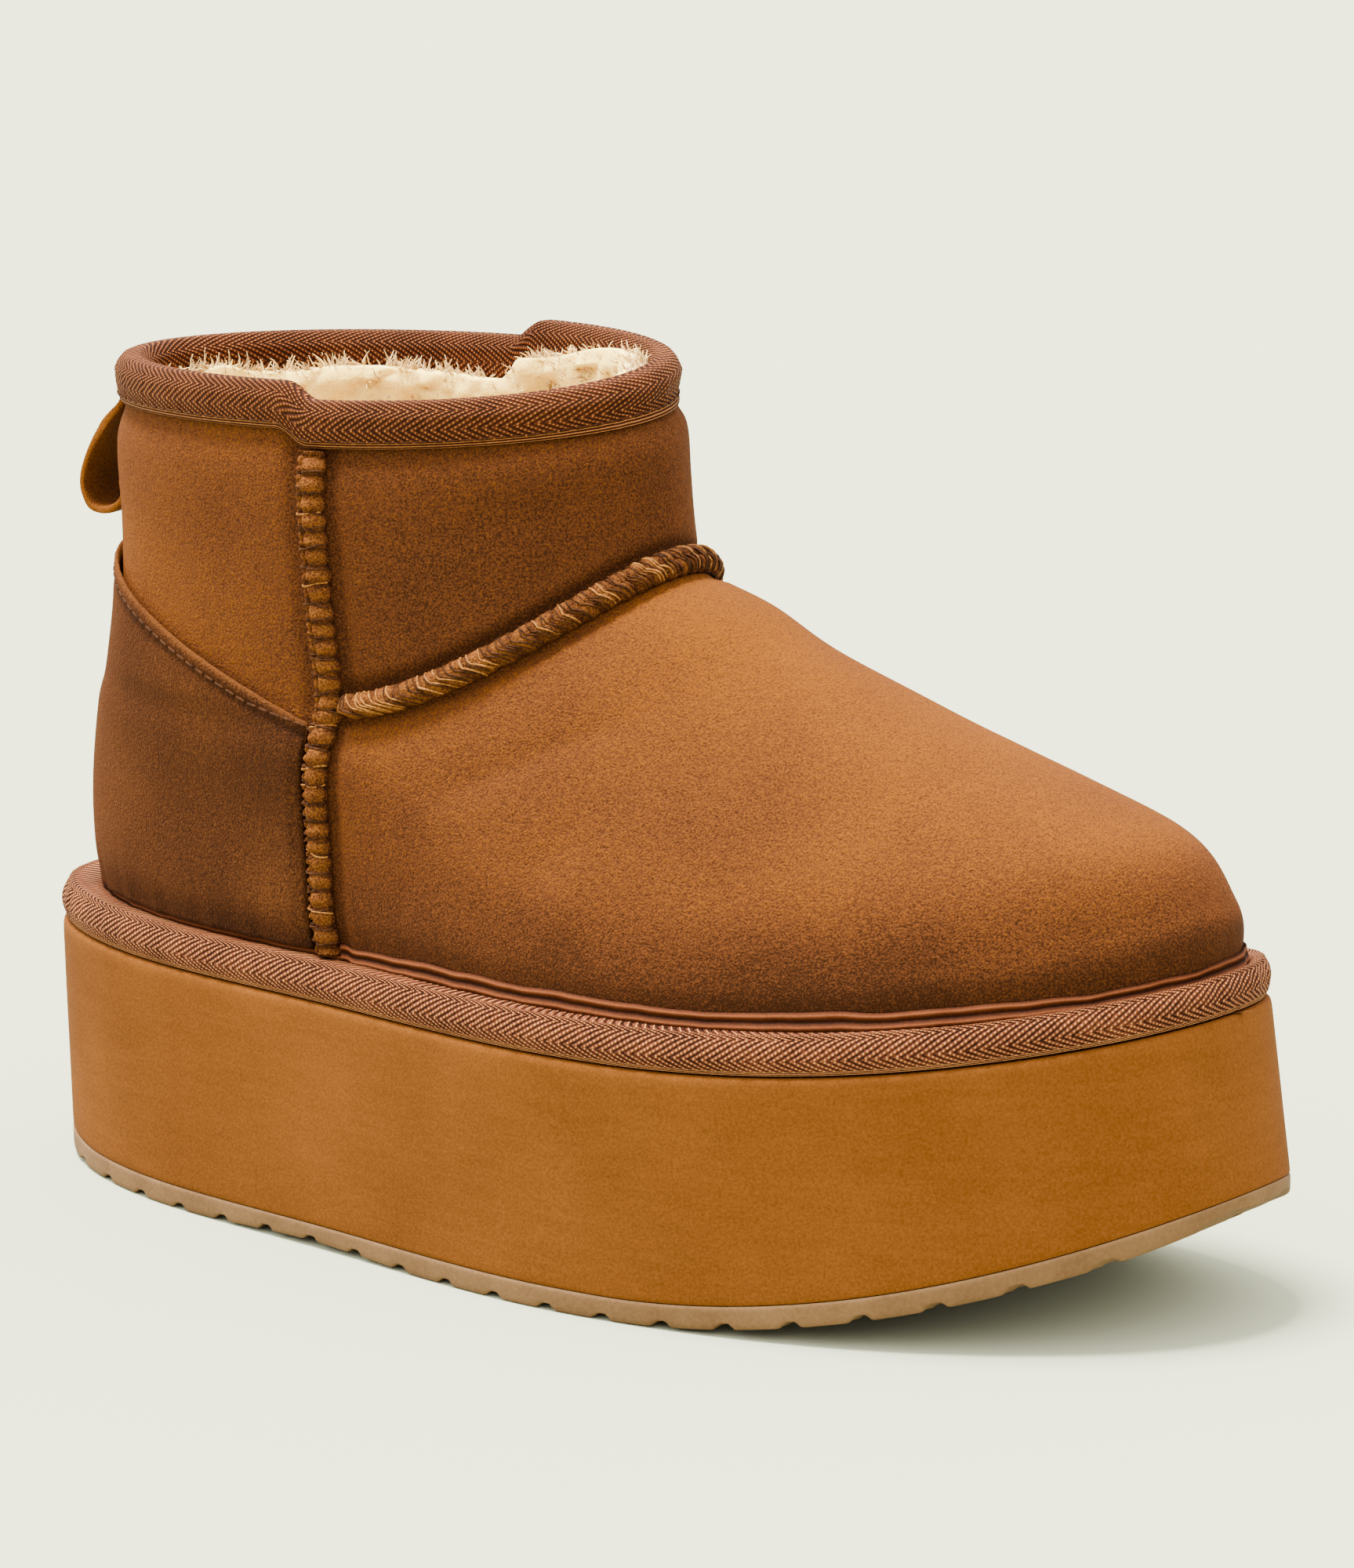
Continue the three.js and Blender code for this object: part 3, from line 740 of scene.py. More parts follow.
@dataclass(frozen=True)
class RubberFinish:
    """Outsole rubber: matt, a little dusty, with fine mould grain."""

    name: str
    dark: str
    light: str

    def build(self) -> bpy.types.Material:
        """Make the material."""
        shader = Shader(self.name)
        at = shader.object_coords()
        grain = shader.noise(at, 0.8, 3.0)
        clouds = shader.noise(at, 12.0, 2.0)
        tone = shader.math("MULTIPLY_ADD", grain, 0.4, shader.math("MULTIPLY", clouds, 0.6))
        colour = shader.mix(shader.ramp(tone, 0.3, 0.7), linear(self.dark), linear(self.light))
        shader.set(
            Base_Color=colour,
            Roughness=0.8,
            Specular_IOR_Level=0.12,
            Normal=shader.bump(grain, 0.1, 0.5),
        )
        return shader.material


@dataclass(frozen=True)
class WoolFinish:
    """Sheepskin pile: creamy wool that lets a little light through."""

    name: str
    dark: str
    light: str
    glow: float = 0.0

    def build(self) -> bpy.types.Material:
        """Make the material."""
        shader = Shader(self.name)
        at = shader.object_coords()
        locks = shader.noise(at, 5.0, 3.0)
        hairs = shader.noise(at, 0.7, 2.0)
        tone = shader.math("MULTIPLY_ADD", locks, 0.7, shader.math("MULTIPLY", hairs, 0.3))
        colour = shader.mix(shader.ramp(tone, 0.35, 0.65), linear(self.dark), linear(self.light))
        shader.set(
            Base_Color=colour,
            Roughness=0.95,
            Specular_IOR_Level=0.02,
            Subsurface_Weight=self.glow,
            Subsurface_Radius=(1.0, 0.9, 0.75),
            Subsurface_Scale=0.003,
            Normal=shader.bump(hairs, 0.4, 0.6),
        )
        return shader.material


@dataclass(frozen=True)
class ThreadFinish:
    """Waxed polyester sewing thread: twisted, with a soft glint."""

    name: str
    dark: str
    light: str

    def build(self) -> bpy.types.Material:
        """Make the material."""
        shader = Shader(self.name)
        twist = shader.noise(shader.object_coords(), 0.6, 1.0)
        colour = shader.mix(shader.ramp(twist, 0.3, 0.7), linear(self.dark), linear(self.light))
        shader.set(
            Base_Color=colour,
            Roughness=0.7,
            Specular_IOR_Level=0.05,
            Normal=shader.bump(twist, 0.1, 0.4),
        )
        return shader.material


class Palette:
    """All materials of the boot."""

    def __init__(self) -> None:
        """Build each finish once."""
        self.suede = SuedeFinish("suede", "#261205", "#43230D", "#5D3308").build()
        self.counter = SuedeFinish("counter_suede", "#150903", "#2C1506", "#48280E").build()
        self.seam = SuedeFinish("seam_suede", "#170803", "#3E200B", "#663C16").build()
        self.tape = TapeFinish("tape", "#4C2410", "#98602E", "#1A0A03").build()
        # Painted light: the rim's tape is a lighter copy of the same tape as the collar's, where it faces up
        # into the light.
        self.rim_tape = TapeFinish("rim_tape", "#68371F", "#C4854E", "#160703").build()
        # Painted shade: the flange's selvedge is a darker copy of the tape, shaded between the roll and the
        # upper.
        self.selvedge = TapeFinish("selvedge", "#3C1C0A", "#5A3018", "#1C0B04").build()
        self.foam = FoamFinish("foam", "#462506", "#56300D", "#653A12").build()
        self.rubber = RubberFinish("rubber", "#4D351C", "#654A2D").build()
        # Painted light and shade: the lining, footbed and inner locks are a brighter copy of the wool for the
        # shaded inside, and the collar's locks a darker copy where light falls full on them.
        self.wool = WoolFinish("wool", "#DAB85C", "#F2D070", 0.5).build()
        self.wool_locks = WoolFinish("wool_locks", "#D8B66C", "#F0CE84").build()
        self.wool_tips = WoolFinish("wool_tips", "#B29058", "#D0B07A").build()
        self.thread = ThreadFinish("thread", "#55310F", "#8A5A28").build()
        self.dark_thread = ThreadFinish("dark_thread", "#1C0C03", "#3C200A").build()


# Worn skin


class Crease(NamedTuple):
    """A soft trough in the upper: its middle, run and size in millimetres of the boot."""

    x: float
    height: float
    side: Side
    slope_deg: float
    length: float
    width: float
    depth: float


CREASES = (
    Crease(8.0, 52.0, Side.OUTER, 24, 34, 2.4, 0.5),
    Crease(-6.0, 45.0, Side.OUTER, 20, 22, 3.0, 0.35),
    Crease(14.0, 34.0, Side.OUTER, 62, 18, 5.0, 0.5),
    Crease(26.0, 22.0, Side.OUTER, 48, 22, 7.0, 0.45),
    Crease(-20.0, 20.0, Side.OUTER, 80, 20, 6.0, 0.35),
    Crease(48.0, 28.0, Side.OUTER, 30, 26, 8.0, 0.4),
    Crease(10.0, 51.0, Side.INNER, 24, 30, 2.6, 0.45),
    Crease(20.0, 30.0, Side.INNER, 55, 22, 6.0, 0.5),
    Crease(-66.0, 82.0, Side.OUTER, 84, 26, 7.0, 0.4),
    Crease(-8.0, 92.0, Side.OUTER, 8, 30, 5.0, 0.35),
    Crease(-84.0, 62.0, Side.INNER, 20, 30, 7.0, 0.4),
)


class Skin(Last):
    """The last's surface as worn suede, with its troughs, puckers and creases."""

    def seam_distance(self, turn: Array, level: Array) -> tuple[Array, Array]:
        """Distances from the side seams, forwards, and from the vamp seam, upwards."""
        point = self.skin(turn, level)
        height = point[..., 2] - self.platform_top(point[..., 0])
        side = point[..., 0] - self.side_seam_x(np.clip(height, 0, self.sizes.collar_height))
        above = np.linalg.norm(self.skin(turn, 1.02) - self.skin(turn, 1.0), axis=-1) / 0.02
        below = np.linalg.norm(self.skin(turn, 1.0) - self.skin(turn, 0.98), axis=-1) / 0.02
        return side, (level - 1) * np.where(level > 1, above, below)

    def relief(self, turn: Array, level: Array) -> Array:
        """How far the worn suede stands out from the last, in millimetres."""
        sizes = self.sizes
        turn, level = np.broadcast_arrays(np.asarray(turn, float), np.asarray(level, float))
        point = self.skin(turn, level)
        x = point[..., 0]
        height = level * self.seam_line(turn)
        rim = self.rim_line(turn)
        above_seam = self.seam_line(turn) + (rim - self.seam_line(turn)) * (level - 1)
        height = np.where(level < 1, height, above_seam)
        side, vamp = self.seam_distance(turn, level)
        front = smoothstep(side, 1, 8)
        out = -0.8 * bell(np.abs(side) - sizes.seam_width / 2 - 0.8, 1.7)
        out += -0.9 * front * bell(np.abs(vamp) - sizes.seam_width / 2 - 0.3, 1.6)
        out += 0.5 * front * bell(vamp + 17, 9)
        out += -0.45 * bell(height - sizes.rim_height - 2.0, 3.5)
        below_tape = rim - height - sizes.tape_depth
        out += -0.45 * bell(below_tape - 1.0, 2.6)
        way = self.perimeter * np.interp(np.mod(turn, 1.0), self._turns, self._shares)
        pucker = np.sin(2 * math.pi * way / 10.3) + 0.6 * np.sin(2 * math.pi * way / 6.1 + 1)
        out += 0.13 * pucker * bell(height - sizes.rim_height, 7)
        out += 0.07 * pucker * bell(below_tape, 5)
        out += 0.32 * wave_noise(point, 34, 11) + 0.14 * wave_noise(point, 13, 12)
        sign = np.where(np.sin(2 * math.pi * turn) > 0, 1, -1)
        for crease in CREASES:
            angle = math.radians(crease.slope_deg)
            dx, dz = x - crease.x, height - crease.height
            along = dx * math.cos(angle) + dz * math.sin(angle)
            across = dz * math.cos(angle) - dx * math.sin(angle)
            across = across + 0.02 * along**2 / crease.length * crease.width
            on = sign == crease.side.value
            out -= on * crease.depth * bell(across, crease.width) * bell(along, crease.length / 2)
        return out

    def surface(self, turn: Array, level: Array, offset: Array) -> Array:
        """Point off the worn suede, outwards for a positive offset."""
        return self.skin_point(turn, level, offset + self.relief(turn, level))

    def shade(self, turn: Array, level: Array) -> Array:
        """How much lighter or darker the suede is painted: painted light where the vamp faces up, painted
        shade low on the vamp, beside the seams and on the shaft's front, and a random tone.
        """
        sizes = self.sizes
        point = self.skin(turn, level)
        height = point[..., 2] - self.platform_top(point[..., 0])
        side, vamp = self.seam_distance(turn, level)
        front = smoothstep(side, 1, 8)
        faces_up = self.normal(turn, level)[..., 2]
        on_vamp = front * (level < 1)
        # Painted light: the vamp is lighter where its surface faces up.
        painted_top_light = 0.3 * smoothstep(faces_up, 0.05, 0.55) + 0.35 * smoothstep(faces_up, 0.55, 0.9)
        tone = on_vamp * (painted_top_light - 0.2)
        # Painted shade low on the vamp, down by the rim tape.
        tone += -0.38 * on_vamp * (1 - smoothstep(height, 10, 34))
        # Painted shade beside the raised side seams and on both sides of the vamp seam.
        tone += -0.4 * bell(np.abs(side) - sizes.seam_width / 2, 1.6)
        tone += -0.45 * front * bell(vamp - sizes.seam_width / 2, 2.0)
        tone += -0.3 * on_vamp * bell(vamp + sizes.seam_width / 2, 1.4)
        # Painted shade on the shaft's front.
        tone += -0.2 * smoothstep(level, 1.0, 1.1) * front
        return tone + 0.14 * wave_noise(point, 24, 21)


# Sole


class Sole:
    """Rubber outsole and foam platform."""

    lug_depth = 1.4
    lug_pitch = 12.4
    groove_width = 1.6
    groove_place = 0.65
    front_flank = 0.9
    back_flank = 1.8

    def __init__(self, last: Skin, palette: Palette) -> None:
        """Keep what the sole is made from."""
        self.last = last
        self.palette = palette

    def build(self) -> list[bpy.types.Object]:
        """Make both pieces."""
        return [self.outsole(), self.platform()]

    def plan(self, share: Array, inset: Array, level: Array, middle: Array) -> Array:
        """Outline points, drawn in to the middle line where middle is 1."""
        last = self.last
        turn = last.even_turn(share)
        low, top = last.plan_point(turn, inset, 0.0), last.plan_point(turn, inset, 1.0)
        plan = low + (top - low) * level[:, None]
        x = -last.sizes.sole_length / 2 * np.cos(2 * math.pi * last.twin_turn(share)) * 0.985
        line = np.column_stack([x, last.sway(x)])
        return plan + (line - plan) * middle[:, None]

    def cut(self, x: Array) -> Array:
        """Depth of the grooves at x, from 0 on a lug to 1 in a groove."""
        off = (np.mod(x / self.lug_pitch - self.groove_place + 0.5, 1.0) - 0.5) * self.lug_pitch
        half = self.groove_width / 2
        front = np.clip(1 - (off - half) / self.front_flank, 0, 1)
        back = np.clip(1 - (-off - half) / self.back_flank, 0, 1)
        return front * back

    def outsole(self) -> bpy.types.Object:
        """Build the outsole with its lugs cut in from the edge."""
        last, sizes = self.last, self.last.sizes
        stations = [0.0, 0.25, 0.36, 0.42, 0.46, 0.52, 0.6, 0.72, 0.8, 1.0]
        insets = [16.0, 9.0, 1.0, 0.35, 0.05, 0.0, 0.0, 0.0, 1.5, 10.0]
        heights = [0.0, 0.0, 0.0, 0.03, 0.12, 0.3, 0.6, 1.0, 1.0, 1.0]
        middles = [1.0, 0.0, 0.0, 0.0, 0.0, 0.0, 0.0, 0.0, 0.0, 1.0]

        def place(u: Array, v: Array) -> Array:
            plan = self.plan(
                u,
                np.interp(v, stations, insets),
                np.zeros_like(v),
                np.interp(v, stations, middles),
            )
            height = np.interp(v, stations, heights)
            x = plan[:, 0]
            low, top = last.floor_clearance(x), last.spring(x) + sizes.outsole_thickness + sizes.gap - 0.03
            groove = self.lug_depth * self.cut(x) * np.clip(1 - height * 2.6, 0, 1)
            return np.column_stack([plan, low + groove + (top - low - groove) * height])

        piece = finish_mesh("outsole_rubber", grid_bmesh(1100, 22, place), self.palette.rubber)
        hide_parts("outsole")
        return piece

    def platform(self) -> bpy.types.Object:
        """Build the foam platform with softly rounded edges."""
        last, sizes = self.last, self.last.sizes
        stations = [0, 0.1, 0.14, 0.17, 0.2, 0.24, 0.5, 0.76, 0.8, 0.83, 0.86, 0.9, 1.0]
        insets = [16.0, 10.0, 0.3, 0.1, 0.03, 0, 0, 0, 0.1, 0.45, 1.2, 10.0, 16.0]
        heights = [0, 0, 0, 0.008, 0.022, 0.06, 0.5, 0.94, 0.978, 0.992, 1, 1, 1]
        middles = [1, 0, 0, 0, 0, 0, 0, 0, 0, 0, 0, 0, 1]

        def place(u: Array, v: Array) -> Array:
            height = np.interp(v, stations, heights)
            plan = self.plan(
                u,
                np.interp(v, stations, insets),
                height,
                np.interp(v, stations, middles),
            )
            low = last.spring(plan[:, 0]) + sizes.outsole_thickness + sizes.gap
            points = np.column_stack([plan, low + (last.platform_top(plan[:, 0]) - low) * height])
            swell = 0.1 * wave_noise(points, 30, 5) * bell(height - 0.5, 0.35)
            points[:, 1] += np.clip(plan[:, 1] / 5, -1, 1) * swell
            return points

        piece = finish_mesh("platform_foam", grid_bmesh(360, 52, place), self.palette.foam)
        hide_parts("platform")
        return piece


# Upper


class Upper:
    """Suede upper and its heel counter."""

    counter_stitch = 3.0
    counter_row = 2.6

    def __init__(self, last: Skin, palette: Palette) -> None:
        """Keep what the upper is made from."""
        self.last = last
        self.palette = palette

    def build(self) -> list[bpy.types.Object]:
        """Make the upper, the counter and the counter's stitches."""
        return [self.shell(), self.counter(), self.counter_stitches()]

    def shell(self) -> bpy.types.Object:
        """Build the upper as one wall, open at the collar and underneath."""
        last, sizes = self.last, self.last.sizes
        stations = [0.0, 0.02, 0.44, 0.78, 0.79, 0.84, 0.98, 1.0]
        levels = [0.0, 0.01, 1.0, 2.0, 2.0, 1.5, 0.01, 0.0]
        depths = [0.0, 0.0, 0.0, 0.0, 1.0, 1.0, 1.0, 0.0]

        def place(u: Array, v: Array) -> Array:
            turn = last.even_turn(u)
            level = np.interp(v, stations, levels)
            depth = np.interp(v, stations, depths)
            relief = last.relief(turn, level) * (1 - depth)
            return last.skin_point(turn, level, relief - sizes.suede * depth)

        def shade(u: Array, v: Array) -> Array:
            return last.shade(last.even_turn(u), np.interp(v, stations, levels))

        piece = finish_mesh("upper_suede", grid_bmesh(380, 190, place, shade=shade), self.palette.suede)
        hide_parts("upper")
        return piece

    def counter_line(self, x: Array) -> Array:
        """Height of the counter's top edge over the platform."""
        sizes = self.last.sizes
        back = FOOT_ROWS[-1].back * sizes.sole_length
        front = self.last.side_seam_x(np.array(sizes.seam_height))
        share = np.clip((x - back) / (front - back), 0, 1)
        return sizes.counter_back + (sizes.counter_side - sizes.counter_back) * share

    def counter_turn(self, share: Array, up: Array) -> tuple[Array, Array]:
        """Turn and height on the counter, for shares of its width and height."""
        last, sizes = self.last, self.last.sizes
        foot = sizes.rim_height + 2 * sizes.gap
        inset = sizes.seam_width / 2 + 2 * sizes.gap
        seam = np.full_like(share, sizes.seam_height)
        middle = last.turn_at(last.side_seam_x(seam) - inset, seam) * (1 - 2 * share)
        top = self.counter_line(last.skin(middle, 1.0)[..., 0])
        height = foot + (top - foot) * up
        return last.turn_at(last.side_seam_x(height) - inset, height) * (1 - 2 * share), height

    def counter(self) -> bpy.types.Object:
        """Build the counter, thinner and paler at its raw top edge."""
        last, sizes = self.last, self.last.sizes
        stations = [0.0, 0.03, 0.84, 0.88, 0.9, 0.92, 0.97, 1.0]
        heights = [0.0, 0.0, 0.965, 0.99, 1.0, 0.99, 0.2, 0.0]
        offsets = [0.0, 1.0, 1.0, 0.85, 0.5, 0.0, 0.0, 0.0]

        def where(u: Array, v: Array) -> tuple[Array, Array, Array]:
            turn, height = self.counter_turn(u, np.interp(v, stations, heights))
            return turn, last.level_at(turn, height), np.interp(v, stations, offsets)

        def place(u: Array, v: Array) -> Array:
            turn, level, depth = where(u, v)
            point = last.skin(turn, level)
            up = np.interp(v, stations, heights)
            row = bell((1 - up) * 45 - self.counter_row, 0.8) * 0.35
            rough = 0.18 * wave_noise(point, 1.6, 31) * bell(1 - up, 0.02)
            offset = 2 * sizes.gap + (sizes.counter_thickness + rough - row) * depth
            return last.surface(turn, level, offset)

        def shade(u: Array, v: Array) -> Array:
            turn, level, _ = where(u, v)
            up = np.interp(v, stations, heights)
            # The raw top edge is paler; painted shade darkens the stitch groove just below it.
            edge = 0.7 * smoothstep(up, 0.975, 0.995) - 0.4 * bell((1 - up) * 45 - 2.6, 1.0)
            # Painted shade at the counter's foot by the rim tape, plus a random tone.
            low = -0.4 * bell(up, 0.08) + 0.2 * wave_noise(last.skin(turn, level), 16, 33)
            return edge + low

        grid = grid_bmesh(260, 90, place, shade=shade)
        piece = finish_mesh("heel_counter_suede", grid, self.palette.counter)
        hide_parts("heel_counter")
        return piece

    def counter_stitches(self) -> bpy.types.Object:
        """Sew the counter down with one row of stitches under its top edge."""
        last, sizes = self.last, self.last.sizes
        share = np.linspace(0.01, 0.99, 600)
        turn, height = self.counter_turn(share, np.ones_like(share))
        level = last.level_at(turn, height - self.counter_row)
        line = last.surface(turn, level, 2 * sizes.gap + sizes.counter_thickness - 0.2)
        ups, thread = last.normal(turn, level), self.palette.dark_thread
        return stitch_row("counter_stitches", line, ups, self.counter_stitch, 0.3, thread)


def stitch_row(
    name: str,
    line: Array,
    normals: Array,
    pitch: float,
    radius: float,
    material: bpy.types.Material,
    fill: float = 0.78,
) -> bpy.types.Object:
    """Lay a row of short stitches along a line.

    Args:
        name: the piece's name.
        line: points along the row, in millimetres.
        normals: outward direction at each point.
        pitch: length of one stitch with its gap.
        radius: half the thread's thickness.
        material: the thread's material.
        fill: share of the pitch that the thread covers.

    Returns:
        All the stitches as one piece.
    """
    base = bmesh.new()
    bmesh.ops.create_cone(base, cap_ends=True, segments=6, radius1=1, radius2=1, depth=1)
    ring = [e for e in base.edges if abs(e.verts[0].co.z - e.verts[1].co.z) < 1e-6]
    bmesh.ops.bevel(
        base,
        geom=ring,
        offset=0.3,
        affect="EDGES",
        offset_type="OFFSET",
        segments=2,
        profile=0.5,
        material=-1,
    )
    thread = bpy.data.meshes.new("stitch")
    base.to_mesh(thread)
    base.free()
    steps = np.linalg.norm(np.diff(line, axis=0), axis=1)
    way = np.concatenate([[0], np.cumsum(steps)])
    count = int(way[-1] / pitch)
    at = (np.arange(count) + 0.5) * way[-1] / count

    def read(table: Array, d: float) -> Array:
        return np.array([np.interp(d, way, table[:, k]) for k in range(3)])

    matrices = []
    for d in at:
        start, end = read(line, d - pitch * fill / 2), read(line, d + pitch * fill / 2)
        along = Vector(end - start)
        up = Vector(read(normals, d)).normalized()
        side = up.cross(along).normalized()
        up = along.normalized().cross(side)
        axes = Matrix((side * radius, up * radius, along)).transposed().to_4x4()
        matrices.append(Matrix.Scale(MM, 4) @ Matrix.Translation(Vector((start + end) / 2)) @ axes)
    return finish_mesh(name, scatter([thread], matrices), material)


# Tapes


RIM_ROWS = (
    ProfileRow(0.03, 0.04),
    ProfileRow(0.13, 0.24),
    ProfileRow(0.16, 0.52),
    ProfileRow(0.04, 0.84),
    ProfileRow(-0.22, 1.0),
    ProfileRow(-0.48, 0.98),
)


def smooth_row(rows: Sequence[NamedTuple], column: str, at: Array) -> Array:
    """Read a column along a list of evenly spaced rows, at 0 on the first and 1 on the last."""
    values = np.array([getattr(row, column) for row in rows])
    last = len(values) - 1
    place = np.clip(at, 0, 1) * last
    i = np.clip(place.astype(int), 0, last - 1)
    s = place - i
    each = np.arange(last + 1)
    slopes = (values[np.minimum(each + 1, last)] - values[np.maximum(each - 1, 0)]) / 2
    slopes[[0, last]] *= 2
    a, b, ta, tb = values[i], values[i + 1], slopes[i], slopes[i + 1]
    return a + s * (ta + s * (3 * (b - a) - 2 * ta - tb + s * (2 * (a - b) + ta + tb)))


class Tapes:
    """Herringbone tapes: one over the collar's edge, one rolled round the platform's edge."""

    flange_low = 5.4
    flange_high = 10.5

    def __init__(self, last: Skin, palette: Palette) -> None:
        """Keep what the tapes are made from."""
        self.last = last
        self.palette = palette

    def build(self) -> list[bpy.types.Object]:
        """Make both tapes with their stitches."""
        return [self.rim(), self.flange(), self.collar(), self.collar_stitches()]

    def rim(self) -> bpy.types.Object:
        """Build the rolled tape on the platform's edge."""
        last, sizes = self.last, self.last.sizes
        face = 0.7

        def place(u: Array, v: Array) -> Array:
            turn = last.even_turn(u)
            at = np.clip(v / face, 0, 1)
            out, up = smooth_row(RIM_ROWS, "out", at), smooth_row(RIM_ROWS, "up", at)
            past = (sizes.rim_overhang - sizes.gap) * (1 - smoothstep(at, 0.6, 0.85))
            ripple = 0.18 * np.sin(2 * math.pi * 89 * u) * np.sin(2 * math.pi * 11 * u + 2)
            wave = (ripple + 0.12 * np.sin(2 * math.pi * 166 * u)) * np.sin(math.pi * at)
            plan = last.plan_point(turn, -(out * sizes.rim_width + past + wave), 1.0)
            outer = np.column_stack([plan, last.platform_top(plan[:, 0]) + up * sizes.rim_height])
            back = np.clip((v - face) / (1 - face), 0, 1)
            height = np.interp(back, [0, 0.25, 0.8, 1], [7.3, 6.5, sizes.gap, sizes.gap])
            inner = last.skin_point(turn, last.level_at(turn, height), 2 * sizes.gap)
            start_out = RIM_ROWS[0].out * sizes.rim_width + sizes.rim_overhang - sizes.gap
            first = last.plan_point(turn, -start_out, 1.0)
            start_up = last.platform_top(first[:, 0]) + RIM_ROWS[0].up * sizes.rim_height
            start = np.column_stack([first, start_up])
            blend = smoothstep(back, 0.8, 1.0)[:, None]
            return np.where((v > face)[:, None], inner + (start - inner) * blend, outer)

        def uv(u: Array, v: Array) -> Array:
            return np.column_stack([u * 648.0, v / face * 12.4])

        piece = finish_mesh("rim_tape_woven", grid_bmesh(520, 44, place, uv=uv), self.palette.rim_tape)
        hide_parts("rim_tape")
        return piece

    def flange(self) -> bpy.types.Object:
        """Build the thin edge of the rolled tape that stands against the upper."""
        last, sizes = self.last, self.last.sizes
        stations = [0.0, 0.04, 0.42, 0.47, 0.52, 0.96, 1.0]
        heights = [0.0, 0.0, 0.93, 1.0, 0.93, 0.0, 0.0]
        offsets = [0.5, 1.0, 0.8, 0.4, 0.0, 0.0, 0.5]

        def place(u: Array, v: Array) -> Array:
            turn = last.even_turn(u)
            share = np.interp(v, stations, heights)
            angle = 2 * math.pi * u
            ring = np.column_stack([np.cos(angle), np.sin(angle), 0 * u]) * last.perimeter / 6.28
            wavy = 0.35 * wave_noise(ring, 7, 41) + 0.45 * wave_noise(ring, 30, 42)
            height = self.flange_low + (self.flange_high + wavy - self.flange_low) * share
            lean = 1.0 - 0.8 * share + 0.12 * (1 + wave_noise(ring, 11, 43)) * share
            offset = lean + 0.3 * np.interp(v, stations, offsets)
            return last.surface(turn, last.level_at(turn, height), offset)

        def uv(u: Array, v: Array) -> Array:
            return np.column_stack([u * 648.0, 1.5 * (1 - np.interp(v, stations, heights))])

        return finish_mesh("rim_flange", grid_bmesh(520, 16, place, uv=uv), self.palette.selvedge)

    def collar_level(self, turn: Array, drop: Array) -> Array:
        """Level at a number of tape depths under the collar's edge."""
        depth = self.last.sizes.tape_depth
        return self.last.level_at(turn, self.last.rim_line(turn) - drop * depth)

    def collar(self) -> bpy.types.Object:
        """Build the tape over the collar's edge."""
        last, sizes = self.last, self.last.sizes
        outer, inner = sizes.gap + sizes.tape_wall, -sizes.tape_inset
        middle, hollow = (outer + inner) / 2, -(sizes.suede + sizes.gap)
        stations = [0, 0.02, 0.16, 0.28, 0.33, 0.37, 0.41, 0.45, 0.5, 0.66, 0.68, 0.7, 0.84, 0.86, 0.98, 1.0]
        drops = [1.03, 1.0, 0.5, 0.05, -0.2, -0.38, -0.38, -0.2, 0.05, 1.0, 1.0, 1.0, 0.0, 0.0, 1.0, 1.03]
        outside = [0.5, 0.75, 1.25, 1.3, 0.6]
        over_edge = [middle + 1.6, middle - 1.6, inner + 0.8]
        inside = [inner, inner, inner, hollow, hollow, sizes.gap, sizes.gap, 0.5]
        offsets = outside + over_edge + inside

        def place(u: Array, v: Array) -> Array:
            turn = last.even_turn(u)
            drop, offset = np.interp(v, stations, drops), np.interp(v, stations, offsets)
            level = self.collar_level(turn, np.maximum(drop, 0))
            face = smoothstep(v, 0.0, 0.06) * (1 - smoothstep(v, 0.4, 0.5))
            ripple = 0.1 * np.sin(2 * math.pi * 75 * u) * np.sin(2 * math.pi * 14 * u)
            point = last.skin_point(turn, level, offset + face * ripple)
            point[:, 2] += np.maximum(-drop, 0) * sizes.tape_depth
            return point

        def uv(u: Array, v: Array) -> Array:
            across = np.interp(v, [0, 0.28, 0.39, 0.5, 0.66, 1], [0, 6.4, 12.0, 17.6, 23.6, 40])
            return np.column_stack([u * 324.0, across])

        piece = finish_mesh("collar_tape_woven", grid_bmesh(420, 72, place, uv=uv), self.palette.tape)
        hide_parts("collar_tape")
        return piece

    def collar_stitches(self) -> bpy.types.Object:
        """Sew the collar's tape down along its lower edge."""
        last = self.last
        turn = last.even_turn(np.linspace(0, 1, 1201))
        level = self.collar_level(turn, np.full_like(turn, 0.8))
        line = last.skin_point(turn, level, 1.1)
        ups, thread = last.normal(turn, level), self.palette.dark_thread
        return stitch_row("collar_stitches", line, ups, 3.0, 0.18, thread)


# Seams


@dataclass(frozen=True)
class RidgeLook:
    """Sizes of a raised seam and of the thread wrapped round it, in millimetres."""

    height: float
    bead_pitch: float
    bead_depth: float
    thread: float
    wrap_pitch: float
    slant: float
    crossed: bool
    column: float
    pale: float


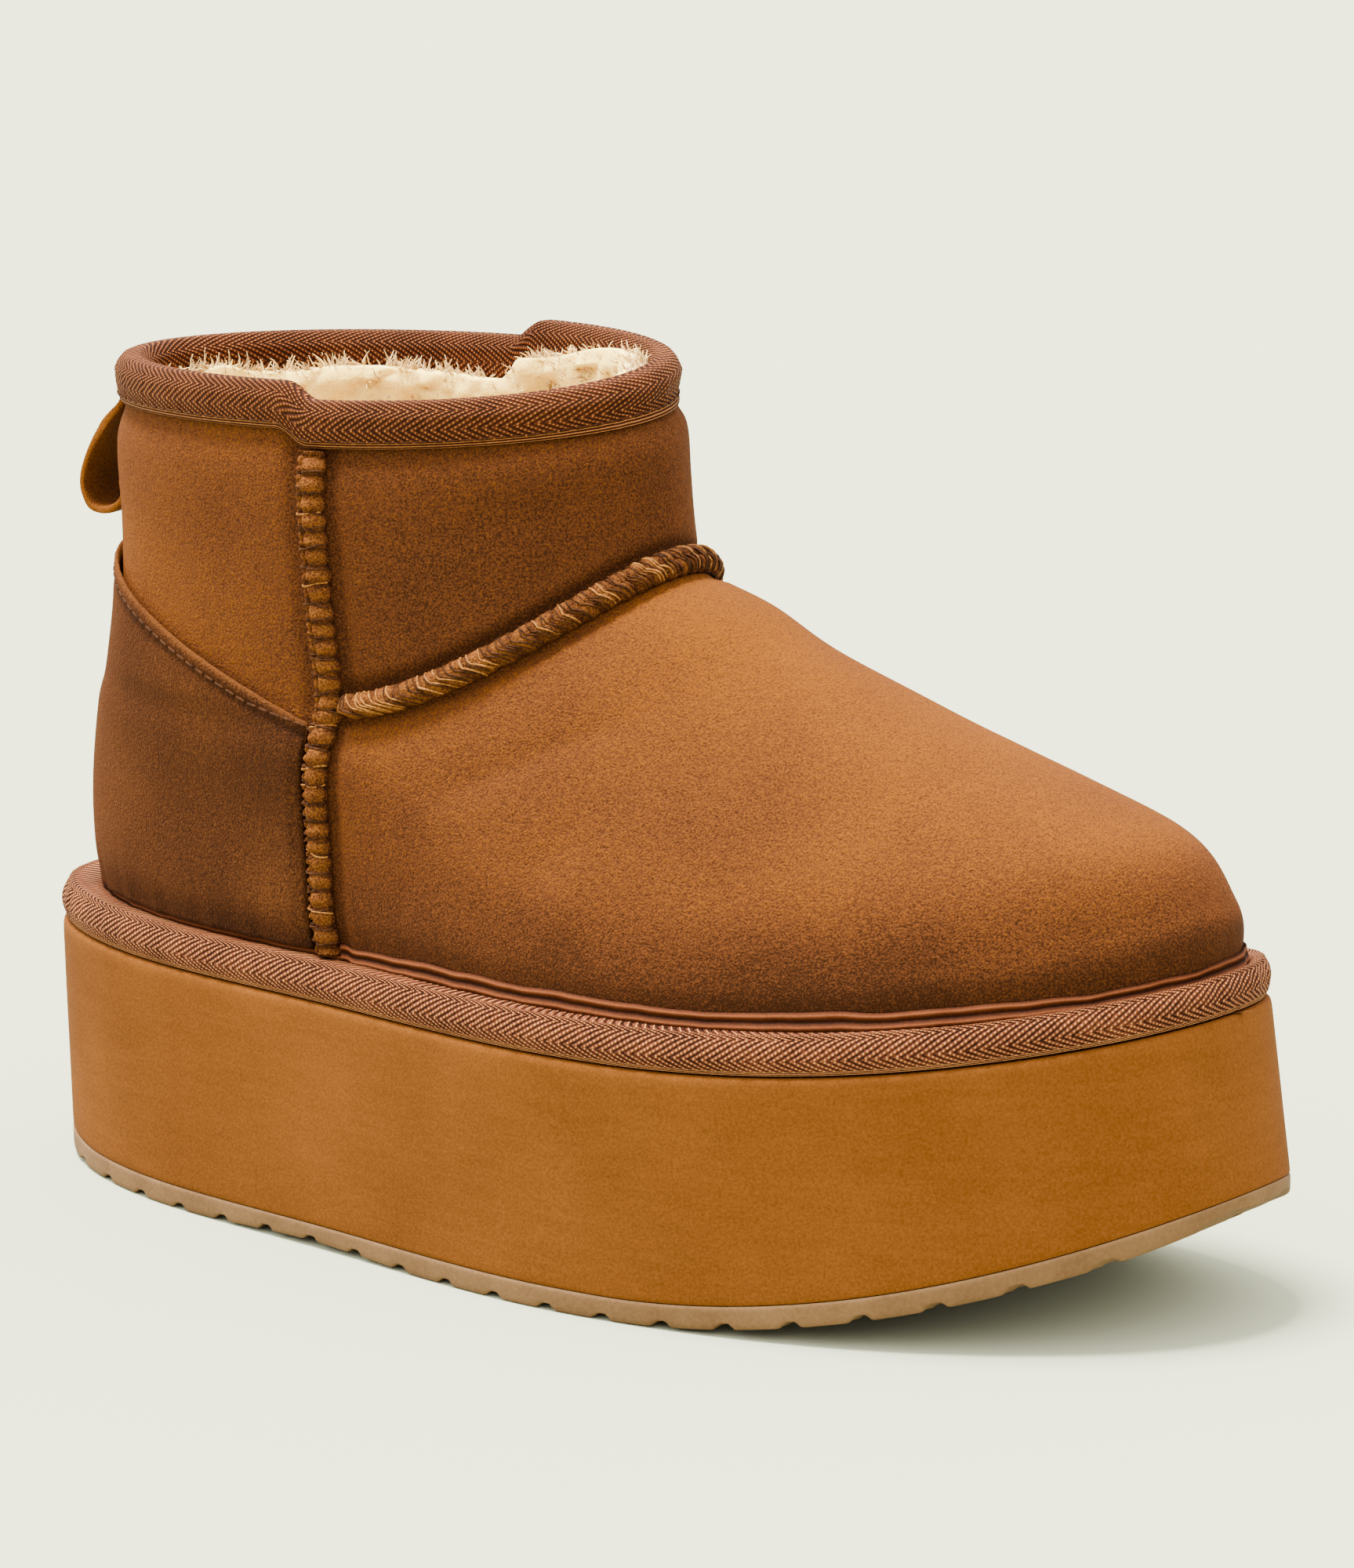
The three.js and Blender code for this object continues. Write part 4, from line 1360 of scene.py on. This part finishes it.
class Seams:
    """Raised seams down both sides and over the instep, each wrapped with thread."""

    side_look = RidgeLook(2.5, 3.9, 0.5, 0.2, 3.9, 0.5, True, 0.4, 0.2)
    vamp_look = RidgeLook(3.2, 4.3, 0.22, 0.2, 1.1, 1.9, False, 0.0, 0.3)

    def __init__(self, last: Skin, palette: Palette) -> None:
        """Keep what the seams are made from."""
        self.last = last
        self.palette = palette

    def build(self) -> list[bpy.types.Object]:
        """Make the ridges and their threads."""
        made = []
        for side in Side:
            label = side.name.lower()
            foot = self.side_foot(side)
            made += self.ridge(f"side_seam_{label}", foot, 108.0, self.side_look)
        made += self.ridge("vamp_seam", self.vamp_foot, 150.0, self.vamp_look)
        return made

    def side_foot(self, side: Side) -> Callable[[Array, Array, Array], Array]:
        """Foot of a side seam: points for shares along it, half widths across it and offsets."""
        last, sizes = self.last, self.last.sizes
        low = sizes.rim_height + 2 * sizes.gap
        top = np.full(2, sizes.collar_height)
        edges = last.turn_at(last.side_seam_x(top) + np.array([-1, 1]) * sizes.seam_width, top)
        high = float(np.min(last.rim_line(side.value * edges))) - sizes.tape_depth - 3 * sizes.gap

        def foot(along: Array, across: Array, offset: Array) -> Array:
            height = low + (high - low) * along
            middle = last.turn_at(last.side_seam_x(height), height)
            level = last.level_at(middle, height)
            across_turn = last.skin(middle + 1e-3, level) - last.skin(middle - 1e-3, level)
            around = np.linalg.norm(across_turn, axis=-1) / 2e-3
            turn = side.value * (middle + across * sizes.seam_width / 2 / around)
            return last.surface(turn, last.level_at(turn, height), offset)

        return foot

    def vamp_foot(self, along: Array, across: Array, offset: Array) -> Array:
        """Foot of the vamp seam, as for a side seam."""
        last, sizes = self.last, self.last.sizes
        seam = np.array(sizes.seam_height)
        start = float(last.turn_at(last.side_seam_x(seam) + sizes.seam_width / 2 + 4 * sizes.gap, seam))
        turn = start + (1 - 2 * start) * along
        above = np.linalg.norm(last.skin(turn, 1.02) - last.skin(turn, 1.0), axis=-1) / 0.02
        below = np.linalg.norm(last.skin(turn, 1.0) - last.skin(turn, 0.98), axis=-1) / 0.02
        shift = across * sizes.seam_width / 2
        return last.surface(turn, 1 + shift / np.where(across > 0, above, below), offset)

    def dome(self, foot: Callable, look: RidgeLook, length: float) -> Callable[[Array, Array, Array], Array]:
        """Points on a ridge for shares along it, an angle over it and a lift off it."""
        rng = np.random.default_rng(int(length))
        knots = rng.uniform(-0.26, 0.26, 60)
        plump = rng.uniform(0.8, 1.08, 60)

        def place(along: Array, angle: Array, lift: Array) -> Array:
            one = np.ones_like(along)
            out = sum(foot(along, s * one, one) - foot(along, s * one, 0 * one) for s in (-1, 1))
            out /= np.linalg.norm(out, axis=-1, keepdims=True)
            phase = along * length / look.bead_pitch
            full_size = plump[np.clip(np.round(phase).astype(int), 0, 59)] if look.crossed else 1.0
            phase = phase + np.interp(phase, np.arange(60), knots)
            bead = np.abs(np.cos(math.pi * phase)) ** 0.55 * full_size
            across = -np.cos(angle)
            if look.column > 0:
                left = smoothstep(-across, look.column - 0.1, look.column + 0.1)
                small = np.abs(np.cos(math.pi * (2 * phase + 0.3))) ** 0.6
                bead = bead * (1 - left) + (small - 0.25) * left
                bead -= 0.9 * bell(across + look.column, 0.12)
            full = 1 - look.bead_depth * (1 - bead)
            width = 0.92 - 0.4 * look.bead_depth * (1 - bead)
            rise = (look.height * full + lift) * np.sin(angle)
            rise = np.maximum(rise, 0) + 0.15 * look.height
            base = foot(along, across * width, 0.3 * one)
            return base + out * rise[:, None]

        return place

    def ridge(self, name: str, foot: Callable, length: float, look: RidgeLook) -> list[bpy.types.Object]:
        """Build one ridge and its threads.

        Args:
            name: the CAD node that the ridge replaces.
            foot: the ridge's foot on the upper.
            length: the seam's rough length in millimetres.
            look: its sizes.

        Returns:
            The ridge and its threads.
        """
        dome = self.dome(foot, look, length)
        top = 0.72

        def place(u: Array, v: Array) -> Array:
            over = dome(u, math.pi * np.clip(v / top, 0, 1), 0 * u)
            rough = 0.12 * wave_noise(over, 1.3, 51)
            angle = math.pi * (1 - np.clip((v - top) / (1 - top), 0, 1))
            low = foot(u, -np.cos(angle), 0.2 + 0 * u)
            under = low + (dome(u, angle, 0 * u) - low) * (np.abs(np.cos(angle)) ** 12)[:, None]
            lumpy = over + rough[:, None] * np.sin(math.pi * np.clip(v / top, 0, 1))[:, None]
            return np.where((v > top)[:, None], under, lumpy)

        def shade(u: Array, v: Array) -> Array:
            # Painted light on the beads' tops, painted shade in the valleys between beads and down the
            # ridge's flanks and underside.
            phase = u * length / look.bead_pitch
            valley = 1 - np.abs(np.cos(math.pi * phase)) ** 0.55
            angle = math.pi * np.clip(v / top, 0, 1)
            return 0.35 - 0.7 * valley - 0.7 * bell(np.sin(angle), 0.3)

        rows = int(length / 0.4)
        body = grid_bmesh(rows, 40, place, shade=shade)
        piece = finish_mesh(f"{name}_ridge", body, self.palette.seam)
        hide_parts(name)
        return [piece, self.threads(name, dome, length, look)]

    def threads(self, name: str, dome: Callable, length: float, look: RidgeLook) -> bpy.types.Object:
        """Wrap thread over a ridge, once each pitch or twice crosswise."""
        rng = np.random.default_rng(len(name) + int(length))
        bm = bmesh.new()
        count = int(length / look.wrap_pitch)
        leans = (1, -1) if look.crossed else (-1,)
        for i in range(count):
            for lean in leans:
                middle = (i + 0.5 + rng.uniform(-1, 1) * (0.12 if look.crossed else 0.45)) * look.wrap_pitch
                slant = lean * look.slant * rng.uniform(0.5, 1.3)
                bow = rng.uniform(-0.45, 0.45)
                angle = np.linspace(rng.uniform(0.1, 0.5), math.pi - rng.uniform(0.1, 0.4), 15)
                along = (middle - slant * np.cos(angle) + bow * np.sin(2 * angle)) / length
                along = np.clip(along, 0.002, 0.998)
                high = 0.1 + 0.12 * np.sin(angle * rng.uniform(1, 3))
                line = dome(along, angle, high)
                ups = dome(along, angle, high + 1) - line + 1e-6
                # A random share of threads is pale: partly lighter strands, partly a painted highlight on the
                # wrap.
                pale = int(rng.uniform() < look.pale)
                tube = grid_bmesh(18, 5, tube_place(line, ups, look.thread * rng.uniform(0.75, 1.2)))
                for face in tube.faces:
                    face.material_index = pale
                mesh = bpy.data.meshes.new("thread")
                tube.to_mesh(mesh)
                tube.free()
                bm.from_mesh(mesh)
                bpy.data.meshes.remove(mesh)
        piece = finish_mesh(f"{name}_threads", bm, self.palette.dark_thread)
        piece.data.materials.append(self.palette.thread)
        return piece


# Pull loop


class LoopRow(NamedTuple):
    """Middle line of the pull loop, out and down as shares of its reach and drop."""

    out: float
    down: float


LOOP_ROWS = (
    LoopRow(0.11, 0.0),
    LoopRow(0.2, 0.12),
    LoopRow(0.48, 0.32),
    LoopRow(0.8, 0.52),
    LoopRow(0.98, 0.68),
    LoopRow(1.0, 0.82),
    LoopRow(0.86, 0.96),
    LoopRow(0.58, 1.0),
    LoopRow(0.3, 0.96),
    LoopRow(0.11, 0.86),
    LoopRow(0.11, 0.72),
)


class PullLoop:
    """Suede loop sewn in under the collar's tape at the heel."""

    def __init__(self, last: Skin, palette: Palette) -> None:
        """Keep what the loop is made from."""
        self.last = last
        self.palette = palette

    def turn_across(self, y: Array, height: Array) -> Array:
        """Turn near the heel at which the upper is y to the side."""
        last = self.last
        turn = np.zeros_like(y)
        for _ in range(8):
            level = last.level_at(turn, height)
            slope = (last.skin(1e-3, level)[..., 1] - last.skin(-1e-3, level)[..., 1]) / 2e-3
            turn = turn + (y - last.skin(turn, level)[..., 1]) / slope
        return turn

    def line(self, share: Array) -> Array:
        """Middle line of the strap: distance out from the shaft and height."""
        sizes = self.last.sizes
        rim = float(self.last.rim_line(np.array(0.0)))
        top = rim - sizes.tape_depth - 2 * sizes.gap - sizes.loop_thickness / 2
        out = smooth_row(LOOP_ROWS, "out", share) * sizes.loop_reach + sizes.gap
        return np.stack([out, top - smooth_row(LOOP_ROWS, "down", share) * sizes.loop_drop], axis=-1)

    def build(self) -> list[bpy.types.Object]:
        """Make the loop."""
        last, sizes = self.last, self.last.sizes

        def place(u: Array, v: Array) -> Array:
            middle = self.line(u)
            along = self.line(np.minimum(u + 1e-3, 1)) - self.line(np.maximum(u - 1e-3, 0))
            along /= np.linalg.norm(along, axis=1, keepdims=True)
            side = np.column_stack([-along[:, 1], along[:, 0]]) * sizes.loop_thickness / 2
            angle = 2 * math.pi * v
            across = -np.sign(np.cos(angle)) * np.abs(np.cos(angle)) ** 0.25
            sign = np.sign(np.sin(angle)) * np.abs(np.sin(angle)) ** 0.35
            q = middle + side * sign[:, None]
            off = np.maximum(q[:, 0], sizes.gap)
            y = across * sizes.loop_width / 2
            turn = self.turn_across(y, q[:, 1])
            bent = last.skin_point(turn, last.level_at(turn, q[:, 1]), off)
            zero = np.zeros_like(y)
            flat = last.skin_point(zero, last.level_at(zero, q[:, 1]), off)
            flat[:, 1] = y
            free = smoothstep(off / sizes.loop_reach, 0.2, 0.7)[:, None]
            return bent + (flat - bent) * free

        def shade(u: Array, v: Array) -> Array:
            edge = 1 - np.abs(np.sin(2 * math.pi * v)) ** 0.5
            return 0.5 * edge + 0.3

        piece = finish_mesh("pull_loop_suede", grid_bmesh(120, 56, place, shade=shade), self.palette.suede)
        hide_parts("pull_loop")
        return [piece]


# Wool


class Wool:
    """Sheepskin pile: a lumpy lining with thousands of fine locks, and the footbed."""

    tufts = 520
    locks_per_tuft = 10

    def __init__(self, last: Skin, palette: Palette) -> None:
        """Keep what the wool is made from."""
        self.last = last
        self.palette = palette
        sizes = last.sizes
        self.back = sizes.suede + 1.5 * sizes.gap
        self.face = self.back + sizes.pile

    def build(self) -> list[bpy.types.Object]:
        """Make the lining, its locks and the footbed."""
        return [self.lining(), self.locks("collar", 71, 7.0), self.locks("inside", 72, 20.0), self.footbed()]

    def crest(self, turn: Array) -> Array:
        """How far the pile stands under the collar's edge, highest at the front on the inner side."""
        at = np.mod(turn, 1.0)
        low = 1.2 * bell(at - 0.74, 0.06) - 4.4 * bell(at - 0.58, 0.1)
        return 4.2 + low + 0.5 * np.sin(2 * math.pi * 7 * turn)

    def lining(self) -> bpy.types.Object:
        """Build the lumpy shell under the locks."""
        last, sizes = self.last, self.last.sizes
        tape_back = sizes.tape_inset + sizes.gap
        wall = 0.26
        stations = [0, wall - 0.02, wall, 0.29, 0.33, 0.38, 0.44, 0.5, 0.68, 0.97, 1.0]
        tops = [0, 0.99, 1.0, 0.975, 1.0, 1.0, 0.98, 0.94, 0.45, 0.0, 0.0]
        inwards = [tape_back, tape_back + 0.5, tape_back + 2.4, self.face, self.face, self.face, self.face]
        offsets = [self.back, self.back, self.back, *inwards, self.back]

        def place(u: Array, v: Array) -> Array:
            turn = last.even_turn(u)
            below = np.where(v <= wall, sizes.tape_depth + 2 * sizes.gap, self.crest(turn))
            height = np.maximum((last.rim_line(turn) - below) * np.interp(v, stations, tops), sizes.gap)
            level, offset = last.level_at(turn, height), np.interp(v, stations, offsets)
            point = last.skin_point(turn, level, -offset)
            lumps = 1.0 * wave_noise(point, 4.5, 61) + 0.6 * wave_noise(point, 2.0, 62)
            lumps = np.where(v < 0.44, np.abs(lumps), lumps)
            inside = smoothstep(v, 0.29, 0.36) * (1 - smoothstep(v, 0.95, 0.97))
            point = last.skin_point(turn, level, -offset - lumps * inside)
            point[:, 2] += 0.9 * wave_noise(point, 5.5, 63) * bell(v - 0.36, 0.08) * inside
            return point

        piece = finish_mesh("wool_pile", grid_bmesh(300, 130, place), self.palette.wool)
        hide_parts("wool_lining")
        return piece

    def lock_meshes(self) -> list[bpy.types.Mesh]:
        """Make a few thin curled locks, one unit long."""
        meshes = []
        for k in range(6):
            bm = bmesh.new()
            bmesh.ops.create_cone(bm, cap_ends=False, segments=3, radius1=0.5, radius2=0.08, depth=1)
            tall = [e for e in bm.edges if abs(e.verts[0].co.z - e.verts[1].co.z) > 0.5]
            bmesh.ops.subdivide_edges(bm, edges=tall, cuts=3)
            for vert in bm.verts:
                z = vert.co.z + 0.5
                vert.co.x += 0.7 * math.sin(3.2 * z + k) * z + 0.9 * z * z
                vert.co.y += 0.6 * math.cos(4.1 * z + 2 * k) * z
                vert.co.z = z
            bmesh.ops.holes_fill(bm, edges=[e for e in bm.edges if e.is_boundary], sides=0)
            mesh = bpy.data.meshes.new("lock")
            bm.to_mesh(mesh)
            bm.free()
            meshes.append(mesh)
        return meshes

    def locks(self, name: str, seed: int, reach: float) -> bpy.types.Object:
        """Grow tufts of fine locks on the lining.

        Args:
            name: where they grow.
            seed: choice of their places.
            reach: how far down from the collar they go, in millimetres.

        Returns:
            All these locks as one piece.
        """
        last = self.last
        rng = np.random.default_rng(seed)
        tuft = np.repeat(np.arange(self.tufts), self.locks_per_tuft)
        count = len(tuft)
        share = (rng.permutation(self.tufts) + rng.uniform(0, 1, self.tufts)) / self.tufts
        deep = rng.uniform(0, 1, self.tufts) ** 1.4 * reach
        turn = last.even_turn(share)[tuft] + rng.normal(0, 0.004, count)
        deep = np.maximum(deep[tuft] + rng.normal(0, 1.0, count), -0.4)
        height = last.rim_line(turn) - self.crest(turn) - 0.6 - deep
        level = last.level_at(turn, height)
        normal = last.normal(turn, level)
        near = bell(deep, 8)
        root = last.skin_point(turn, level, -(self.face - 1.4) + 2.6 * near * rng.uniform(0, 1, count))
        up = np.array([0, 0, 1.0])
        lean = rng.normal(0, 0.5, (self.tufts, 3))[tuft] + rng.normal(0, 0.4, (count, 3))
        aim = -normal * (0.9 - 0.25 * near)[:, None] + up * (0.2 + 0.75 * near)[:, None] + lean
        aim /= np.linalg.norm(aim, axis=1, keepdims=True)
        length = rng.uniform(0.6, 1.3, count) * rng.uniform(2.0, 3.6, self.tufts)[tuft]
        thick = rng.uniform(0.35, 1.0, count)
        matrices = []
        spins = rng.uniform(0, 2 * math.pi, count)
        for point, direction, size, width, spin in zip(root, aim, length, thick, spins):
            turned = Vector(direction).to_track_quat("Z", "Y").to_matrix().to_4x4()
            scale = Matrix.Diagonal((width, width, size, 1))
            place = Matrix.Translation(Vector(point)) @ turned @ Matrix.Rotation(spin, 4, "Z") @ scale
            matrices.append(Matrix.Scale(MM, 4) @ place)
        # The collar's locks take the darker copy (painted shade), the inner locks the brighter one (painted
        # light).
        wool = self.palette.wool_tips if near.mean() > 0.5 else self.palette.wool_locks
        return finish_mesh(f"wool_locks_{name}", scatter(self.lock_meshes(), matrices), wool)

    def footbed(self) -> bpy.types.Object:
        """Build the sheepskin footbed."""
        last, sizes = self.last, self.last.sizes
        edge = sizes.suede + sizes.pile + 1.5 * sizes.gap + 2 * sizes.gap
        stations = [0, 0.1, 0.16, 0.3, 0.4, 0.46, 0.52, 1.0]
        insets = [9.0, 6.0, 0.8, 0.0, 0.0, 0.6, 1.6, 12.0]
        heights = [0.3, 0.3, 0.3, 1.1, 4.3, 5.4, 6.0, 6.0]
        middles = [1, 0, 0, 0, 0, 0, 0, 1]

        def place(u: Array, v: Array) -> Array:
            turn = last.even_turn(u)
            inset = np.interp(v, stations, insets)
            point = last.skin_point(turn, np.zeros_like(turn), -(edge + inset))
            x = last.skin(last.twin_turn(u), 0.0)[:, 0] * 0.9
            middle = np.interp(v, stations, middles)[:, None]
            plan = point[:, :2] + (np.column_stack([x, last.sway(x)]) - point[:, :2]) * middle
            flat = np.column_stack([plan, np.zeros(len(plan))])
            lumps = (0.7 * wave_noise(flat, 5, 81) + 0.4 * wave_noise(flat, 2.2, 82)) * (v > 0.45)
            height = np.interp(v, stations, heights) + np.minimum(lumps, 1.2)
            return np.column_stack([plan, last.platform_top(plan[:, 0]) + height])

        piece = finish_mesh("footbed", grid_bmesh(260, 60, place), self.palette.wool)
        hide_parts("insole")
        return piece


# Stage


class Stage:
    """Floor, lights and camera."""

    camera_turn = 0.624935577
    camera_rise = 0.206621347
    camera_roll = -0.00645534787
    camera_distance = 1250.0
    target = (10.21, 0.0, 87.13)
    lens = 8511.65 * 36 / 2000

    def camera(self) -> None:
        """Place the camera where the photograph was taken from."""
        a, e = self.camera_turn, self.camera_rise
        back = Vector((math.sin(a) * math.cos(e), -math.cos(a) * math.cos(e), math.sin(e)))
        right = Vector((math.cos(a), math.sin(a), 0))
        up = back.cross(right)
        c, s = math.cos(self.camera_roll), math.sin(self.camera_roll)
        axes = (right * c + up * s, up * c - right * s, back)
        data = bpy.data.cameras.new("camera")
        data.lens = self.lens
        data.sensor_fit = "VERTICAL"
        data.sensor_height = 36
        data.clip_end = 50
        camera = bpy.data.objects.new("camera", data)
        place = (Vector(self.target) + back * self.camera_distance) * MM
        camera.matrix_world = Matrix.Translation(place) @ Matrix(axes).transposed().to_4x4()
        bpy.context.collection.objects.link(camera)
        bpy.context.scene.camera = camera

    def lamp(self, name: str, direction: tuple[float, float, float], power: float, spread_deg: float) -> None:
        """Add a wide distant light that shines along a direction."""
        data = bpy.data.lights.new(name, "SUN")
        data.energy = power
        data.angle = math.radians(spread_deg)
        lamp = bpy.data.objects.new(name, data)
        lamp.rotation_euler = Vector(direction).to_track_quat("-Z", "Y").to_euler()
        bpy.context.collection.objects.link(lamp)

    def build(self) -> None:
        """Make the whole stage."""
        self.camera()
        bm = bmesh.new()
        bmesh.ops.create_grid(bm, x_segments=1, y_segments=1, size=20)
        mesh = bpy.data.meshes.new("floor")
        bm.to_mesh(mesh)
        bm.free()
        shader = Shader("floor")
        shader.set(Base_Color=linear("#9A9E85"), Roughness=0.9, Specular_IOR_Level=0.0)
        mesh.materials.append(shader.material)
        floor = bpy.data.objects.new("floor", mesh)
        bpy.context.collection.objects.link(floor)
        world = bpy.data.worlds.new("studio")
        world.use_nodes = True
        world.node_tree.nodes["Background"].inputs[0].default_value = linear("#F5F0EE")
        world.node_tree.nodes["Background"].inputs[1].default_value = 2.2
        bpy.context.scene.world = world
        self.lamp("key", (0.2, 0.1, -1.0), 21.0, 20)
        self.lamp("sky", (0.0, 0.0, -1.0), 9.0, 140)
        self.lamp("left", (0.85, 0.4, -0.5), 2.2, 40)


def main() -> None:
    """Build the boot and its stage."""
    logging.basicConfig(level=logging.INFO)
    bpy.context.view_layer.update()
    last = Skin(BootSizes())
    palette = Palette()
    Stage().build()
    for maker in (Sole, Upper, Tapes, Seams, PullLoop, Wool):
        made = maker(last, palette).build()
        for piece in made:
            LOG.info("%s: %d faces", piece.name, len(piece.data.polygons))


if __name__ == "__main__":
    main()
